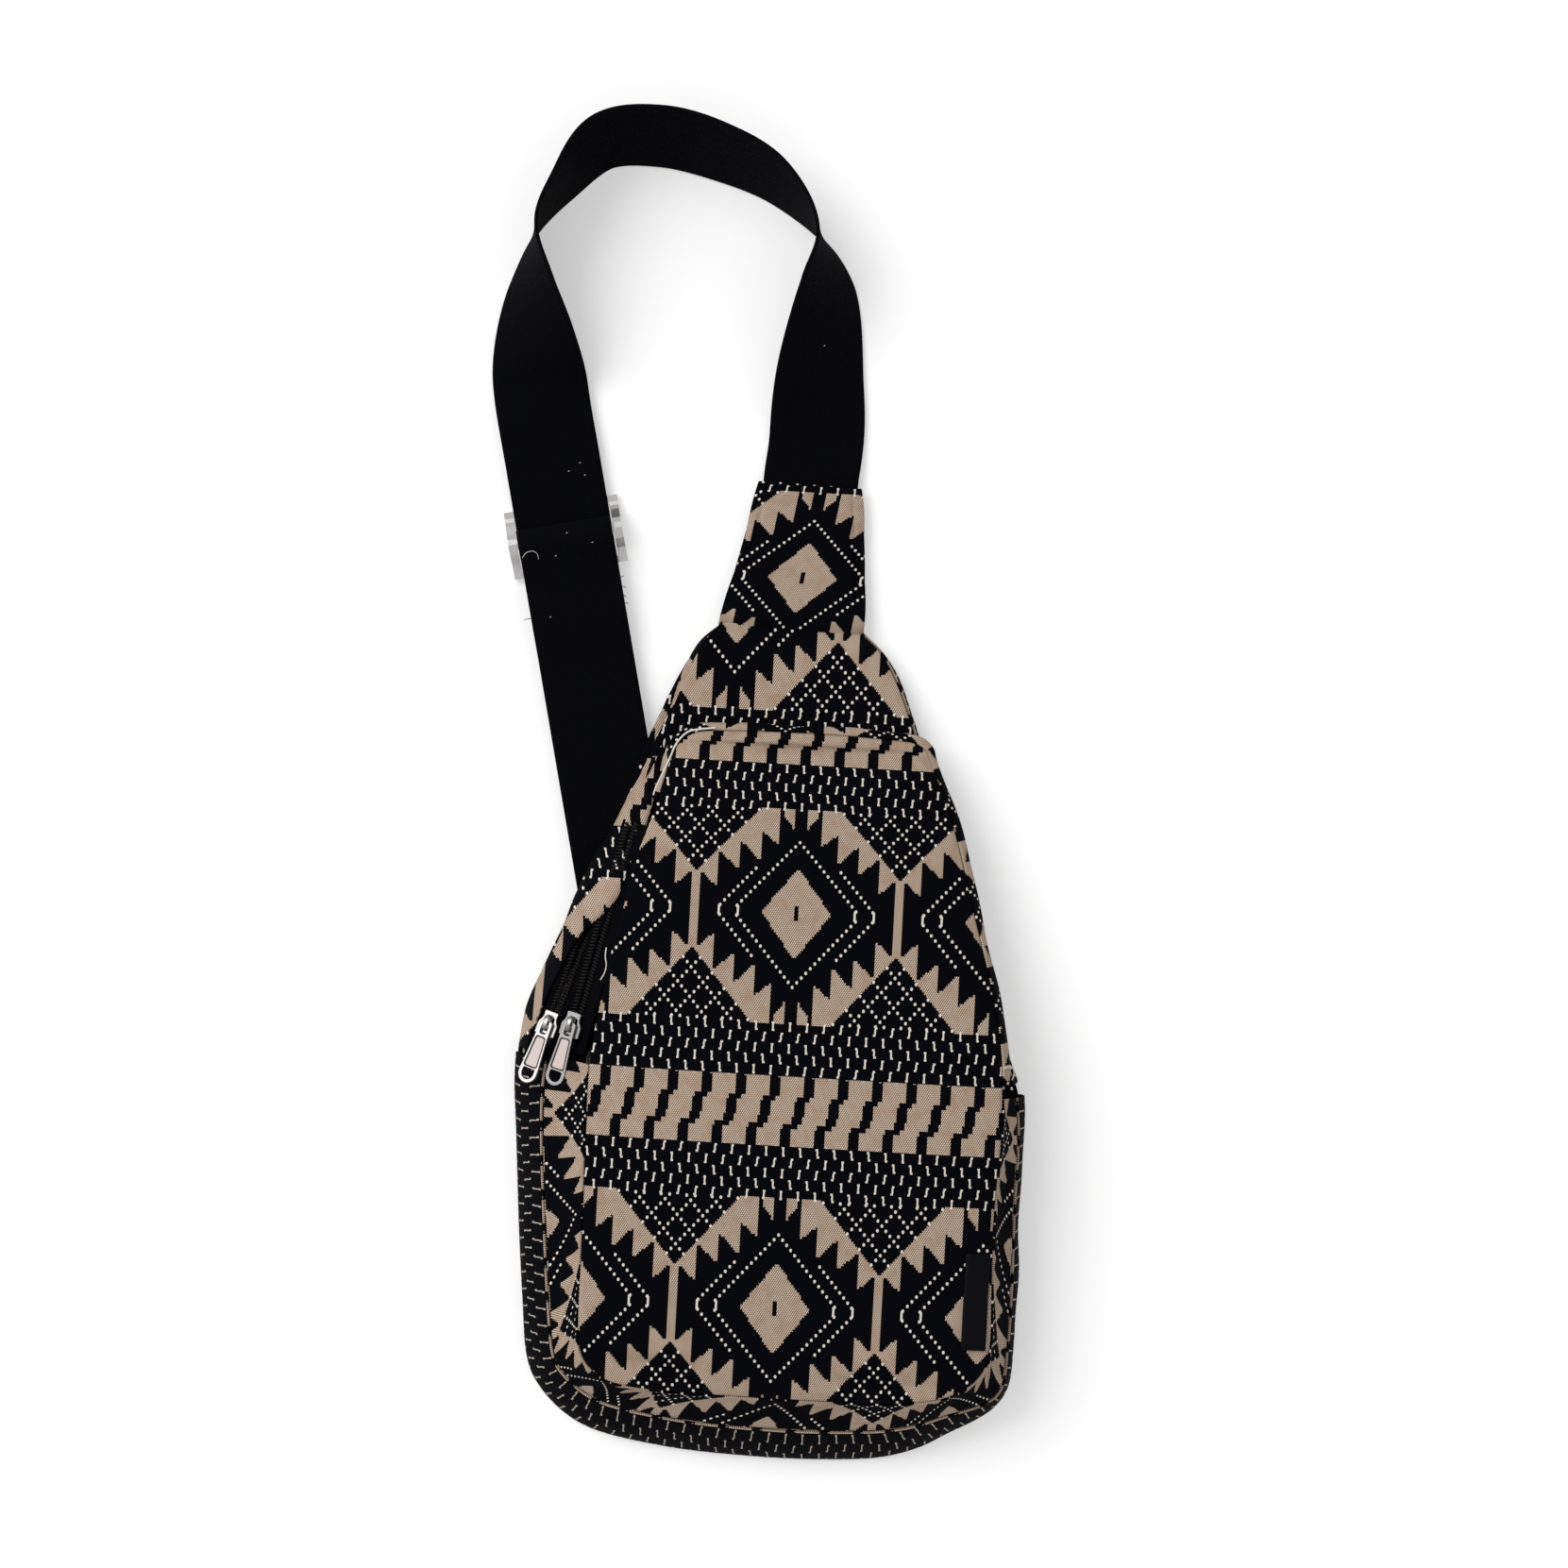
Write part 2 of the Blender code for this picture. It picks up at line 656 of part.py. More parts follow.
def slider(name, material, parts, cutters, frame):
    """Two plates with turned-in lips, joined by a web that runs in the slit of the chain."""
    half = SLIDER_WIDTH / 2
    inside = half - SLIDER_LIP
    floor = COIL_HEIGHT + SLIDER_CLEARANCE
    top = floor + SLIDER_PLATE
    lip = TAPE / 2 + GAP
    web = SLIDER_WEB / 2
    quarter = [(web, floor), (inside, floor), (inside, lip), (half, lip), (half, top)]
    right_low = [(x, -z) for x, z in quarter]
    outline = quarter[::-1] + right_low
    outline += [(-x, z) for x, z in reversed(right_low)]
    outline += [(-x, z) for x, z in quarter]
    length = SLIDER_LENGTH / 2
    body = prism(name, outline, -length, length, 1, material, parts, frame)
    for vertex in body.data.vertices:
        if vertex.co.y > 0:
            vertex.co.x *= SLIDER_NARROWING
    reach = CROWN_REACH
    inner = reach - CROWN_METAL - 0.2
    rise = top + CROWN_OPENING
    arch = [(-reach, top - 0.3), (-reach, rise - 0.6), (-inner, rise + CROWN_METAL)]
    arch += [(-x, z) for x, z in reversed(arch)]
    arch += [(inner, top - 0.3), (inner, rise - 0.3), (inner - 0.4, rise)]
    arch += [(0.4 - inner, rise), (-inner, rise - 0.3), (-inner, top - 0.3)]
    crown = prism(name + "_crown", arch, -CROWN_WIDTH / 2, CROWN_WIDTH / 2, 0, material, cutters, frame)
    boolean(body, crown, "UNION")
    return top


def arc(centre, radius, start, end, steps):
    """Points on an arc, with its angles in degrees."""
    points = []
    for step in range(steps + 1):
        angle = math.radians(mix(start, end, step / steps))
        points.append((centre[0] + radius * math.cos(angle), centre[1] + radius * math.sin(angle)))
    return points


def pull(name, plate_top, material, parts, frame):
    """The pull: a bar under the slider's crown, an eye beside it, and a tapering plate."""
    level = plate_top + CROWN_OPENING / 2
    hinge = frame @ Matrix.Translation(Vector((0, 0, level)) * MM)
    curve = bpy.data.curves.new(name, "CURVE")
    curve.dimensions = "2D"
    curve.fill_mode = "BOTH"
    curve.extrude = PULL_METAL / 2 * MM
    curve.resolution_u = 1
    ring = PULL_RING_WIDTH / 2
    end = PULL_WIDTH / 2
    head = PULL_BAR / 2
    foot = -PULL_LENGTH + end
    outline = [(-ring + 1.0, head), (-ring, head - 1.0), (-ring, -head - PULL_EYE)]
    outline += arc((0, foot), end, 180, 360, 10)
    outline += [(ring, -head - PULL_EYE), (ring, head - 1.0), (ring - 1.0, head)]
    eye_half = CROWN_WIDTH / 2 + 0.5
    eye = [(-eye_half, -head), (eye_half, -head), (eye_half, -head - PULL_EYE)]
    eye += [(-eye_half, -head - PULL_EYE)]
    hole = arc((0, foot), PULL_HOLE / 2, 180, 360, 8)
    hole = hole[::-1]
    for points in (outline, eye, hole):
        spline = curve.splines.new("POLY")
        spline.points.add(len(points) - 1)
        for point, (x, y) in zip(spline.points, points):
            point.co = (x * MM, y * MM, 0.0, 1.0)
        spline.use_cyclic_u = True
    thing = add_object(name, curve, material, parts)
    thing.matrix_world = hinge
    return thing


def build_zip(label, start, lean, climb, length, edge_widths, materials, parts, cutters):
    """Two tapes, the two halves of the coil, the stop, the slider and its pull."""
    frame = zip_frame(start, lean, climb)
    tape, coil, metal = materials
    low, high = -SLIDER_LENGTH / 2 - 1.0, length
    for side, end, width in ((-1, "outer", edge_widths[0]), (1, "inner", edge_widths[1])):
        near = side * (COIL_HALF + GAP)
        far = near + side * width
        edges = (min(near, far), max(near, far))
        spots = ((edges[0], -TAPE_FOOT, -TAPE / 2), (edges[1], high, TAPE / 2))
        box(f"{label}_zip_tape_{end}", *spots, tape, parts, frame)
        coil_half(f"{label}_zip_coil_{end}", side, low, high, coil, parts, frame)
    stop_top = low - GAP
    spots = ((-COIL_HALF, stop_top - STOP_LENGTH, -COIL_HEIGHT), (COIL_HALF, stop_top, COIL_HEIGHT))
    box(f"{label}_zip_stop", *spots, metal, parts, frame)
    top = slider(f"{label}_zip_slider", metal, parts, cutters, frame)
    pull(f"{label}_zip_pull", top, metal, parts, frame)


def build_neck(cloth, collection):
    rows = (0.002, 0.12, 0.3, 0.62, 1.0)
    half = WEBBING_WIDTH / 2 + GAP
    front, back = [], []
    for share in rows:
        y = mix(BODY_HEIGHT + 0.5, NECK_TOP, share)
        left = mix(back_edge(1.0, -1)[0], NECK_TOP_LEFT, share)
        right = mix(back_edge(1.0, 1)[0], NECK_TOP_RIGHT, share)
        middle = (left + right) / 2
        low = NECK_CLOTH + GAP
        over = low + WEBBING + GAP
        joined = main_seam(1.0, 1)[2] + CLOTH
        height = mix(joined, over + CLOTH, min(1.0, share / 0.3))
        edge = mix(joined, over + CLOTH - 0.3, min(1.0, share / 0.3))
        spots = ((left, edge), (middle - half, height), (middle, height))
        spots += ((middle + half, height), (right, edge))
        front.append([place(x, y, z) for x, z in spots])
        back.append([place(x, y, 0.0) for x, _ in spots])
    add_shell("neck_front", front, CLOTH, cloth, collection)
    add_shell("neck_back", back, NECK_CLOTH, cloth, collection, side=1.0)


def smooth_route(points, steps):
    """A smooth curve through every point, by cubic pieces whose slopes follow their neighbours."""
    points = [Vector(point) for point in points]
    route = []
    for index in range(len(points) - 1):
        before = points[max(index - 1, 0)]
        start, end = points[index], points[index + 1]
        after = points[min(index + 2, len(points) - 1)]
        for step in range(steps):
            t = step / steps
            leaving, arriving = (end - before) / 2, (after - start) / 2
            route.append(
                start * (1 + 2 * t) * (1 - t) ** 2
                + end * t * t * (3 - 2 * t)
                + leaving * t * (1 - t) ** 2
                - arriving * t * t * (1 - t)
            )
    route.append(points[-1])
    return route


def ribbon(name, centres, acrosses, material, collection):
    """A length of webbing: two edges, half its width each side of the middle, thickened."""
    rows = [[], []]
    for centre, across in zip(centres, acrosses):
        rows[0].append(centre - across * WEBBING_WIDTH / 2 * MM)
        rows[1].append(centre + across * WEBBING_WIDTH / 2 * MM)
    thing = add_shell(name, rows, WEBBING, material, collection, side=0.0)
    thing.modifiers["Thickness"].use_even_offset = True
    return thing


def strap_frame(y, z=0.0):
    """Across, along and out of the strap's straight run, with its origin on the run's middle."""
    run = Vector((STRAP_LINE_LEAN, 1.0, 0.0)).normalized()
    across = run.cross(Vector((0, 0, 1)))
    frame = Matrix((across, run, Vector((0, 0, 1)))).transposed().to_4x4()
    frame.translation = place(strap_line_x(y), y, z)
    return frame


def ground_height(roll):
    """How high the middle of the webbing is, where its lower edge rests on the ground."""
    angle = math.radians(roll)
    return abs(math.sin(angle)) * WEBBING_WIDTH / 2 + abs(math.cos(angle)) * WEBBING / 2


def build_strap(webbing, collection):
    """The long length of webbing, from the neck round the loop to the ring and part way back."""
    half = WEBBING / 2
    neck_z = NECK_CLOTH + GAP + half
    middle = (NECK_TOP_LEFT + NECK_TOP_RIGHT) / 2
    stations = [
        (middle, NECK_TOP - STRAP_END_INSIDE, neck_z, 0.0),
        (middle, NECK_TOP - 8.0, neck_z, 0.0),
        (middle, NECK_TOP + 2.0, neck_z, 0.0),
    ]
    stations += [(x, y, ground_height(roll), roll) for x, y, roll in STRAP_LOOP]
    rise = RAISED_STRAP + half
    under = UNDER_LAYER + half
    # The straight run stays level past the adjuster's travel, and drops to the ground behind.
    drop = TAIL_LOW_END - DROP_BELOW_TAIL
    for y, z in ((STRAP_LINE_TOP, rise), (ADJUSTER_Y, rise), (drop, rise)):
        stations.append((strap_line_x(y), y, z, 0.0))
    for y, z in ((drop - DROP_RAMP, under), (RING_Y + LEVEL_ABOVE_RING, under)):
        stations.append((strap_line_x(y), y, z, 0.0))
    route = smooth_route(stations, 4)
    level = len(stations) - 5
    # Straight stretches need no points between their ends.
    kept = [i for i in range(len(route)) if i < 4 * level or i % 4 == 0]
    centres, acrosses = [], []
    for index in kept:
        spot = route[index]
        before, after = route[max(index - 1, 0)], route[min(index + 1, len(route) - 1)]
        heading = Vector((after[0] - before[0], after[1] - before[1], 0.0)).normalized()
        flat = heading.cross(Vector((0, 0, 1)))
        roll = math.radians(spot[3])
        centres.append(place(spot[0], spot[1], max(spot[2], ground_height(spot[3]))))
        acrosses.append(flat * math.cos(roll) + Vector((0, 0, 1)) * math.sin(roll))
    frame = strap_frame(RING_Y)
    across = -frame.col[0].to_3d()
    bar_inside = RING_LENGTH / 2 - RING_BAR
    upper = OVER_RING + half
    radius = (upper - under) / 2
    turn = arc((bar_inside - 0.1, under + radius), radius, 270, 90, 8)
    off_ring = RING_LENGTH / 2 + RETURN_LEVEL_RUN
    back = [(off_ring, upper), (off_ring + RETURN_RAMP, SECOND_LAYER + half)]
    run_top = (TAIL_LOW_END - RING_Y) / math.cos(math.atan(STRAP_LINE_LEAN))
    climbed = run_top - SPLICE_LEVEL_RUN
    back += [(climbed - SPLICE_RAMP, SECOND_LAYER + half), (climbed, RAISED_TAIL + half)]
    back += [(run_top - GAP, RAISED_TAIL + half)]
    for y, z in turn + back:
        centres.append(frame @ (Vector((0, y, z)) * MM))
        acrosses.append(across)
    ribbon("strap", centres, acrosses, webbing, collection)


def build_tail(webbing, collection):
    """The strap's last stretch: up to the adjuster, round its middle bar, and back on itself."""
    half = WEBBING / 2
    frame = strap_frame(ADJUSTER_Y)
    run = (ADJUSTER_Y - TAIL_LOW_END) / math.cos(math.atan(STRAP_LINE_LEAN))
    low = RAISED_TAIL + half
    over_end = low + WEBBING + GAP
    crest = ADJUSTER_METAL * 1.5 + ADJUSTER_ARCH + GAP + half + 0.1
    radius = (crest - low) / 2
    bar = ADJUSTER_CENTRE_BAR / 2
    points = [(-run, low), (-TAIL_OVERLAP - 12.0, low), (-TAIL_OVERLAP - 2.0, over_end)]
    points += [(-12.0, over_end), (-bar - 1.5, crest)]
    points += arc((bar - 0.3, low + radius), radius, 90, -90, 8)
    points += [(-bar - 1.5, low), (-TAIL_OVERLAP, low)]
    across = frame.col[0].to_3d()
    centres = [frame @ (Vector((0, y, z)) * MM) for y, z in points]
    ribbon("strap_tail", centres, [across] * len(points), webbing, collection)


# The adjuster's middle bar arches over the strap and over the layer of the tail below it.
ADJUSTER_ARCH = RAISED_TAIL + WEBBING + GAP + 0.6


def build_adjuster(metal, parts, cutters):
    """A cast frame with three bars: the outer two lie under the strap, the middle one over it."""
    frame = strap_frame(ADJUSTER_Y)
    half = ADJUSTER_WIDTH / 2
    bend = ADJUSTER_LENGTH / 2 - ADJUSTER_BAR
    steps = 12
    rows = []
    for x in (-half, half):
        row = []
        for y in [-ADJUSTER_LENGTH / 2] + [mix(-bend, bend, i / steps) for i in range(steps + 1)] + [
            ADJUSTER_LENGTH / 2
        ]:
            share = max(0.0, math.cos(math.pi * y / (2 * bend))) if abs(y) < bend else 0.0
            z = ADJUSTER_METAL / 2 + 0.1 + (ADJUSTER_ARCH - 0.1) * share * share
            row.append(frame @ (Vector((x, y, z)) * MM))
        rows.append(row)
    body = add_shell("strap_adjuster", rows, ADJUSTER_METAL, metal, parts, side=0.0)
    slot = WEBBING_WIDTH / 2 + SLOT_PLAY
    for side, name in ((-1, "lower"), (1, "upper")):
        ends = sorted((side * ADJUSTER_CENTRE_BAR / 2, side * bend))
        low, high = (-slot, ends[0], -5.0), (slot, ends[1], 20.0)
        cutter = box(f"adjuster_{name}_slot", low, high, metal, cutters, frame)
        boolean(body, cutter, "DIFFERENCE")
    body.data.transform(frame.inverted())
    body.matrix_world = frame


def build_ring(metal, webbing, parts, cutters):
    frame = strap_frame(RING_Y)
    half_width, half_length = RING_WIDTH / 2, RING_LENGTH / 2
    low = (-half_width, -half_length, RING_LEVEL)
    high = (half_width, half_length, RING_LEVEL + RING_METAL)
    ring = box("strap_ring", low, high, metal, parts, frame)
    slot = WEBBING_WIDTH / 2 + SLOT_PLAY
    inside = half_length - RING_BAR
    cutter = box("ring_slot", (-slot, -inside, -5.0), (slot, inside, 20.0), metal, cutters, frame)
    boolean(ring, cutter, "DIFFERENCE")

    half = WEBBING / 2
    under, upper = UNDER_LAYER + half, OVER_RING + half
    radius = (upper - under) / 2
    points = [(-TAB_LENGTH, upper), (-inside, upper)]
    points += arc((-inside + 0.1, under + radius), radius, 90, -90, 8)
    points += [(-inside - 2.0, under), (-TAB_LENGTH, under)]
    centres = [frame @ (Vector((0, y, z)) * MM) for y, z in points]
    ribbon("ring_tab", centres, [frame.col[0].to_3d()] * len(points), webbing, parts)


def build_label(satin, collection):
    rows = []
    for step in range(5):
        y = LABEL_CENTRE + LABEL_HEIGHT * (step / 4 - 0.5)
        share = y / BODY_HEIGHT
        for _ in range(6):
            share += (y - pocket_seam(share, 1)[1]) / BODY_HEIGHT
        left, right = pocket_seam(share, -1), pocket_seam(share, 1)
        row = []
        for column in range(3):
            x = right[0] - LABEL_INSET - LABEL_WIDTH * (1 - column / 2)
            across = (x - left[0]) / (right[0] - left[0])
            dome = POCKET_BULGE * 4 * across * (1 - across) * pocket_row_shape(share)
            z = mix(left[2], right[2], across) + CLOTH + dome
            row.append(place(x, y, z + GAP + LABEL_CLOTH))
        rows.append(row)
    add_shell("label", rows, LABEL_CLOTH, satin, collection)


def main():
    clear_scene()
    parts = make_collection("Crossbody bag")
    cutters = make_collection("Cutters")
    jacquard = make_material("Jacquard", (0.22, 0.17, 0.13), 0.85)
    webbing = make_material("Webbing", (0.012, 0.013, 0.018), 0.8)
    tape = make_material("Zip tape", (0.010, 0.010, 0.014), 0.85)
    coil = make_material("Zip coil", (0.015, 0.015, 0.020), 0.45)
    nickel = make_material("Nickel", (0.78, 0.78, 0.80), 0.28, 1.0)
    satin = make_material("Label satin", (0.010, 0.010, 0.012), 0.4)
    lining = make_material("Lining", (0.020, 0.020, 0.022), 0.8)
    build_back(jacquard, lining, parts)
    build_main_gusset(jacquard, parts)
    build_front(jacquard, lining, parts)
    build_pocket(jacquard, parts)
    build_neck(jacquard, parts)
    zip_materials = (tape, coil, nickel)
    build_zip(
        "main", MAIN_ZIP_START, MAIN_ZIP_LEAN, MAIN_ZIP_CLIMB, MAIN_ZIP_LENGTH,
        (EDGE_TAPE_WIDTH, SEAM_TAPE_WIDTH), zip_materials, parts, cutters,
    )
    build_zip(
        "pocket", POCKET_ZIP_START, POCKET_ZIP_LEAN, POCKET_ZIP_CLIMB, POCKET_ZIP_LENGTH,
        (PULL_SIDE_TAPE_WIDTH, TAPE_WIDTH), zip_materials, parts, cutters,
    )
    build_strap(webbing, parts)
    build_tail(webbing, parts)
    build_adjuster(nickel, parts, cutters)
    build_ring(nickel, webbing, parts, cutters)
    build_label(satin, parts)


main()
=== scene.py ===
"""The looks of a woven crossbody bag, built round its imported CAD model.

Sizes in the tables are millimetres in the bag's own plane: x across it, y up from the middle of
its bottom edge, and z off the ground. The bag lies on its back and the camera looks down on it.
"""

import math

import bmesh
import bpy
import numpy as np
from mathutils import Matrix, Vector


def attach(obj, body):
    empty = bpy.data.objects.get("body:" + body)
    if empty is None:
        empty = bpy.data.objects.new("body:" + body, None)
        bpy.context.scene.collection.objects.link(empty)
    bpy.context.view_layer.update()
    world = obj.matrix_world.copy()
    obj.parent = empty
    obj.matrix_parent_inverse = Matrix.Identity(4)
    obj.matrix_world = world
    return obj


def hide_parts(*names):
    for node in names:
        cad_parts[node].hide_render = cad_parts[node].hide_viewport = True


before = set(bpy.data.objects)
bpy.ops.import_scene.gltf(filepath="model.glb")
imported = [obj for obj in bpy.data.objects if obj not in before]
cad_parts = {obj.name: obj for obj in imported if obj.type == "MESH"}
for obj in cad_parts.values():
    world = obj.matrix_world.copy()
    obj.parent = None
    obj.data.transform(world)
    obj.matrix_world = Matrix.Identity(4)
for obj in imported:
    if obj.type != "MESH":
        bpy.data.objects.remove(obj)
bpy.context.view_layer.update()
scene = bpy.context.scene

# Camera: straight above the bag on a long lens, turned so that the bag leans as photographed.
camera = bpy.data.objects.new("camera", bpy.data.cameras.new("camera"))
camera.data.lens = 100.0
camera.data.sensor_width = 36.0
camera.location = (-0.0076, 0.1209, 1.7483)
camera.rotation_euler = (0.0, 0.0, math.radians(3.15))
scene.collection.objects.link(camera)
scene.camera = camera
scene.view_settings.view_transform = "Standard"

# Light: a broad soft source up and to the left, over an even white surround.
lamp = bpy.data.objects.new("soft_key", bpy.data.lights.new("soft_key", "SUN"))
lamp.data.energy = 1.6
lamp.data.angle = math.radians(38.0)
lamp.rotation_euler = (math.radians(-24.0), math.radians(-40.0), 0.0)
scene.collection.objects.link(lamp)
world = bpy.data.worlds.new("surround")
scene.world = world
world.use_nodes = True
world.node_tree.nodes["Background"].inputs["Color"].default_value = (1.0, 1.0, 1.0, 1.0)
world.node_tree.nodes["Background"].inputs["Strength"].default_value = 0.55


def new_material(name, colour, roughness, metallic=0.0, specular=0.5):
    """A plain material, with its node tree and its shader."""
    material = bpy.data.materials.new(name)
    material.use_nodes = True
    shader = material.node_tree.nodes["Principled BSDF"]
    shader.inputs["Base Color"].default_value = (*colour, 1.0)
    shader.inputs["Roughness"].default_value = roughness
    shader.inputs["Metallic"].default_value = metallic
    shader.inputs["Specular IOR Level"].default_value = specular
    return material, material.node_tree, shader


def arithmetic(tree):
    """A function that adds a maths node to this tree and gives its output."""

    def maths(operation, *values):
        node = tree.nodes.new("ShaderNodeMath")
        node.operation = operation
        for socket, value in zip(node.inputs, values):
            if isinstance(value, (int, float)):
                socket.default_value = value
            else:
                tree.links.new(value, socket)
        return node.outputs[0]

    return maths


# Floor: a wide sheet of white paper, just under the bag. It glows a little for the camera and for
# reflections only, so that it reads as white and still keeps the bag's shadow.
reach, drop, glow = 4.0, -0.0008, 0.36
floor_mesh = bpy.data.meshes.new("floor")
corners = [(x * reach, y * reach, drop) for x, y in ((-1, -1), (1, -1), (1, 1), (-1, 1))]
floor_mesh.from_pydata(corners, [], [(0, 1, 2, 3)])
floor = bpy.data.objects.new("floor", floor_mesh)
scene.collection.objects.link(floor)
paper, tree, shader = new_material("paper", (0.80, 0.80, 0.80), 1.0, specular=0.0)
shader.inputs["Emission Color"].default_value = (1.0, 1.0, 1.0, 1.0)
maths = arithmetic(tree)
rays = tree.nodes.new("ShaderNodeLightPath")
seen = maths("MAXIMUM", rays.outputs["Is Camera Ray"], rays.outputs["Is Glossy Ray"])
seen = maths("MAXIMUM", seen, rays.outputs["Is Transmission Ray"])
tree.links.new(maths("MULTIPLY", seen, glow), shader.inputs["Emission Strength"])
floor_mesh.materials.append(paper)


# Jacquard: a black and beige cotton cloth, woven in a repeat of diamonds, saw-toothed mountains,
# a lattice of dots, rows of short strokes and a band of stepped bars. One repeat is 96 threads
# by 160, and its UV map counts threads. The whole repeat is drawn by rule.
def jacquard_material(name, stroke_width, mark_colour):
    """The cloth, with the width of its short strokes and the colour of strokes and dots."""
    material, tree, shader = new_material(name, (0.5, 0.34, 0.2), 0.86, specular=0.04)
    maths = arithmetic(tree)
    uv = tree.nodes.new("ShaderNodeUVMap")
    split = tree.nodes.new("ShaderNodeSeparateXYZ")
    tree.links.new(uv.outputs["UV"], split.inputs[0])
    u, v = split.outputs[0], split.outputs[1]

    def chain(operation):
        """A function that runs this operation over its values, one after the other."""

        def chained(result, *values):
            for value in values:
                result = maths(operation, result, value)
            return result

        return chained

    add, times, either = chain("ADD"), chain("MULTIPLY"), chain("MAXIMUM")
    both = times

    def above(a, b):
        return maths("GREATER_THAN", a, b)

    def below(a, b):
        return maths("LESS_THAN", a, b)

    def near(a, centre, width):
        return maths("COMPARE", a, centre, width)

    # Whole threads, then how far each is from the middle of the diamond, across and up. The
    # numbers in the rest of the pattern are such distances, in threads.
    half_u, half_v = 48.0, 80.0
    thread_u = add(maths("FLOOR", u), 0.5)
    thread_v = add(maths("FLOOR", v), 0.5)
    p = maths("PINGPONG", thread_u, half_u)
    q = maths("PINGPONG", thread_v, half_v)
    p_plus_q = add(p, q)

    # The solid diamond with a slit in its middle, and the upright bar between two diamonds
    diamond_wide, diamond_high = 16.4, 18.8
    slit = both(below(p, 1.1), below(q, 2.7))
    in_diamond = below(add(times(p, 1 / diamond_wide), times(q, 1 / diamond_high)), 1.0)
    diamond = both(in_diamond, below(slit, 0.5))
    bar = both(above(p, 45.6), below(q, 16.2))

    # The mountains' underside is a saw: each tooth rises from its tip towards the outside. A
    # small tooth stands apart from them, nearest the diamond's middle line.
    teeth = []
    for low, high, tip, slope in (
        (10.0, 18.0, 28.6, 0.75),
        (18.0, 28.0, 21.2, 0.85),
        (28.0, 38.0, 17.4, 0.72),
        (38.0, 48.1, 9.4, 0.80),
    ):
        rise = add(times(add(p, -low), slope), tip)
        teeth.append(both(above(p, low), below(p, high), above(q, rise)))
    mountains = both(either(*teeth), below(p_plus_q, 63.4), below(q, 44.6))
    small = both(above(p, 2.9), below(p, 8.1), below(q, 44.6))
    small = both(small, above(q, add(times(add(p, -2.9), 1.3), 35.5)))

    # Dotted lines, with a round dot on every second thread: two rings round the diamond, and the
    # lattice beyond the mountains. Two short dashes stand at the diamond's sides.
    even_u = times(maths("ROUND", times(u, 0.5)), 2.0)
    even_v = times(maths("ROUND", times(v, 0.5)), 2.0)
    off_u = times(add(u, times(even_u, -1.0)), 1 / 0.64)
    off_v = times(add(v, times(even_v, -1.0)), 1 / 0.70)
    dot = below(add(times(off_u, off_u), times(off_v, off_v)), 1.0)
    dot_p = maths("PINGPONG", even_u, half_u)
    dot_q = maths("PINGPONG", even_v, half_v)
    dot_sum = add(dot_p, dot_q)
    inner = both(near(dot_sum, 30.0, 0.5), above(dot_q, 1.0))
    outer = both(near(dot_sum, 38.0, 0.5), above(dot_q, 1.0), below(dot_q, 19.0))
    rising = below(maths("FLOORED_MODULO", add(dot_sum, 0.5), 12.0), 1.0)
    falling = below(maths("FLOORED_MODULO", add(dot_p, times(dot_q, -1.0), 96.5), 12.0), 1.0)
    lattice = both(either(rising, falling), above(dot_sum, 63.0), below(dot_q, 45.0))
    dots = both(either(inner, outer, lattice), dot)
    sides = both(either(near(p, 27.5, 0.4), near(p, 36.5, 0.4)), below(q, 1.8))

    # Rows of short upright strokes, every other row set half a step along. Both ends of a stroke
    # lean a little, some to the left and some to the right.
    row_height, column_width = 4.4, 8.0
    q_fine = maths("PINGPONG", v, half_v)
    row = times(add(q_fine, -43.9), 1 / row_height)
    row_number = maths("FLOOR", row)
    along = add(row, times(row_number, -1.0), -0.5)
    column = times(add(u, times(row_number, column_width / 2)), 1 / column_width)
    column_number = maths("ROUND", column)
    aside = times(add(column, times(column_number, -1.0)), column_width)
    kind = maths("SINE", add(times(column_number, 12.9), times(row_number, 7.8)))
    ends = add(above(along, 0.24), times(below(along, -0.24), -1.0))
    sway = times(ends, times(kind, 0.4))
    width = add(stroke_width, times(maths("ABSOLUTE", ends), 0.16))
    stroke = both(
        below(maths("ABSOLUTE", add(aside, sway)), width),
        below(maths("ABSOLUTE", along), 0.43),
        above(q_fine, 44.0),
        below(q_fine, 66.4),
    )

    # The band of bars, each of which steps sideways as it goes down
    up_band = add(maths("FLOORED_MODULO", thread_v, 2 * half_v), -half_v)
    down = add(14.4, times(up_band, -1.0))
    shift = 3.0
    for start, step in ((8.5, 2.2), (10.7, 2.0), (16.0, 0.8), (19.5, 2.4), (21.7, 3.0)):
        shift = add(times(above(down, start), step), shift)
    across = maths("FLOORED_MODULO", add(thread_u, shift), 16.0)
    narrow = times(both(above(down, 8.5), below(down, 10.7)), -1.6)
    narrow = add(times(both(above(down, 19.5), below(down, 21.7)), -2.4), narrow)
    bars = both(below(across, add(narrow, 11.4)), above(q, 65.6))

    marks = either(dots, sides, stroke)
    beige = either(diamond, bar, mountains, small, bars, marks)

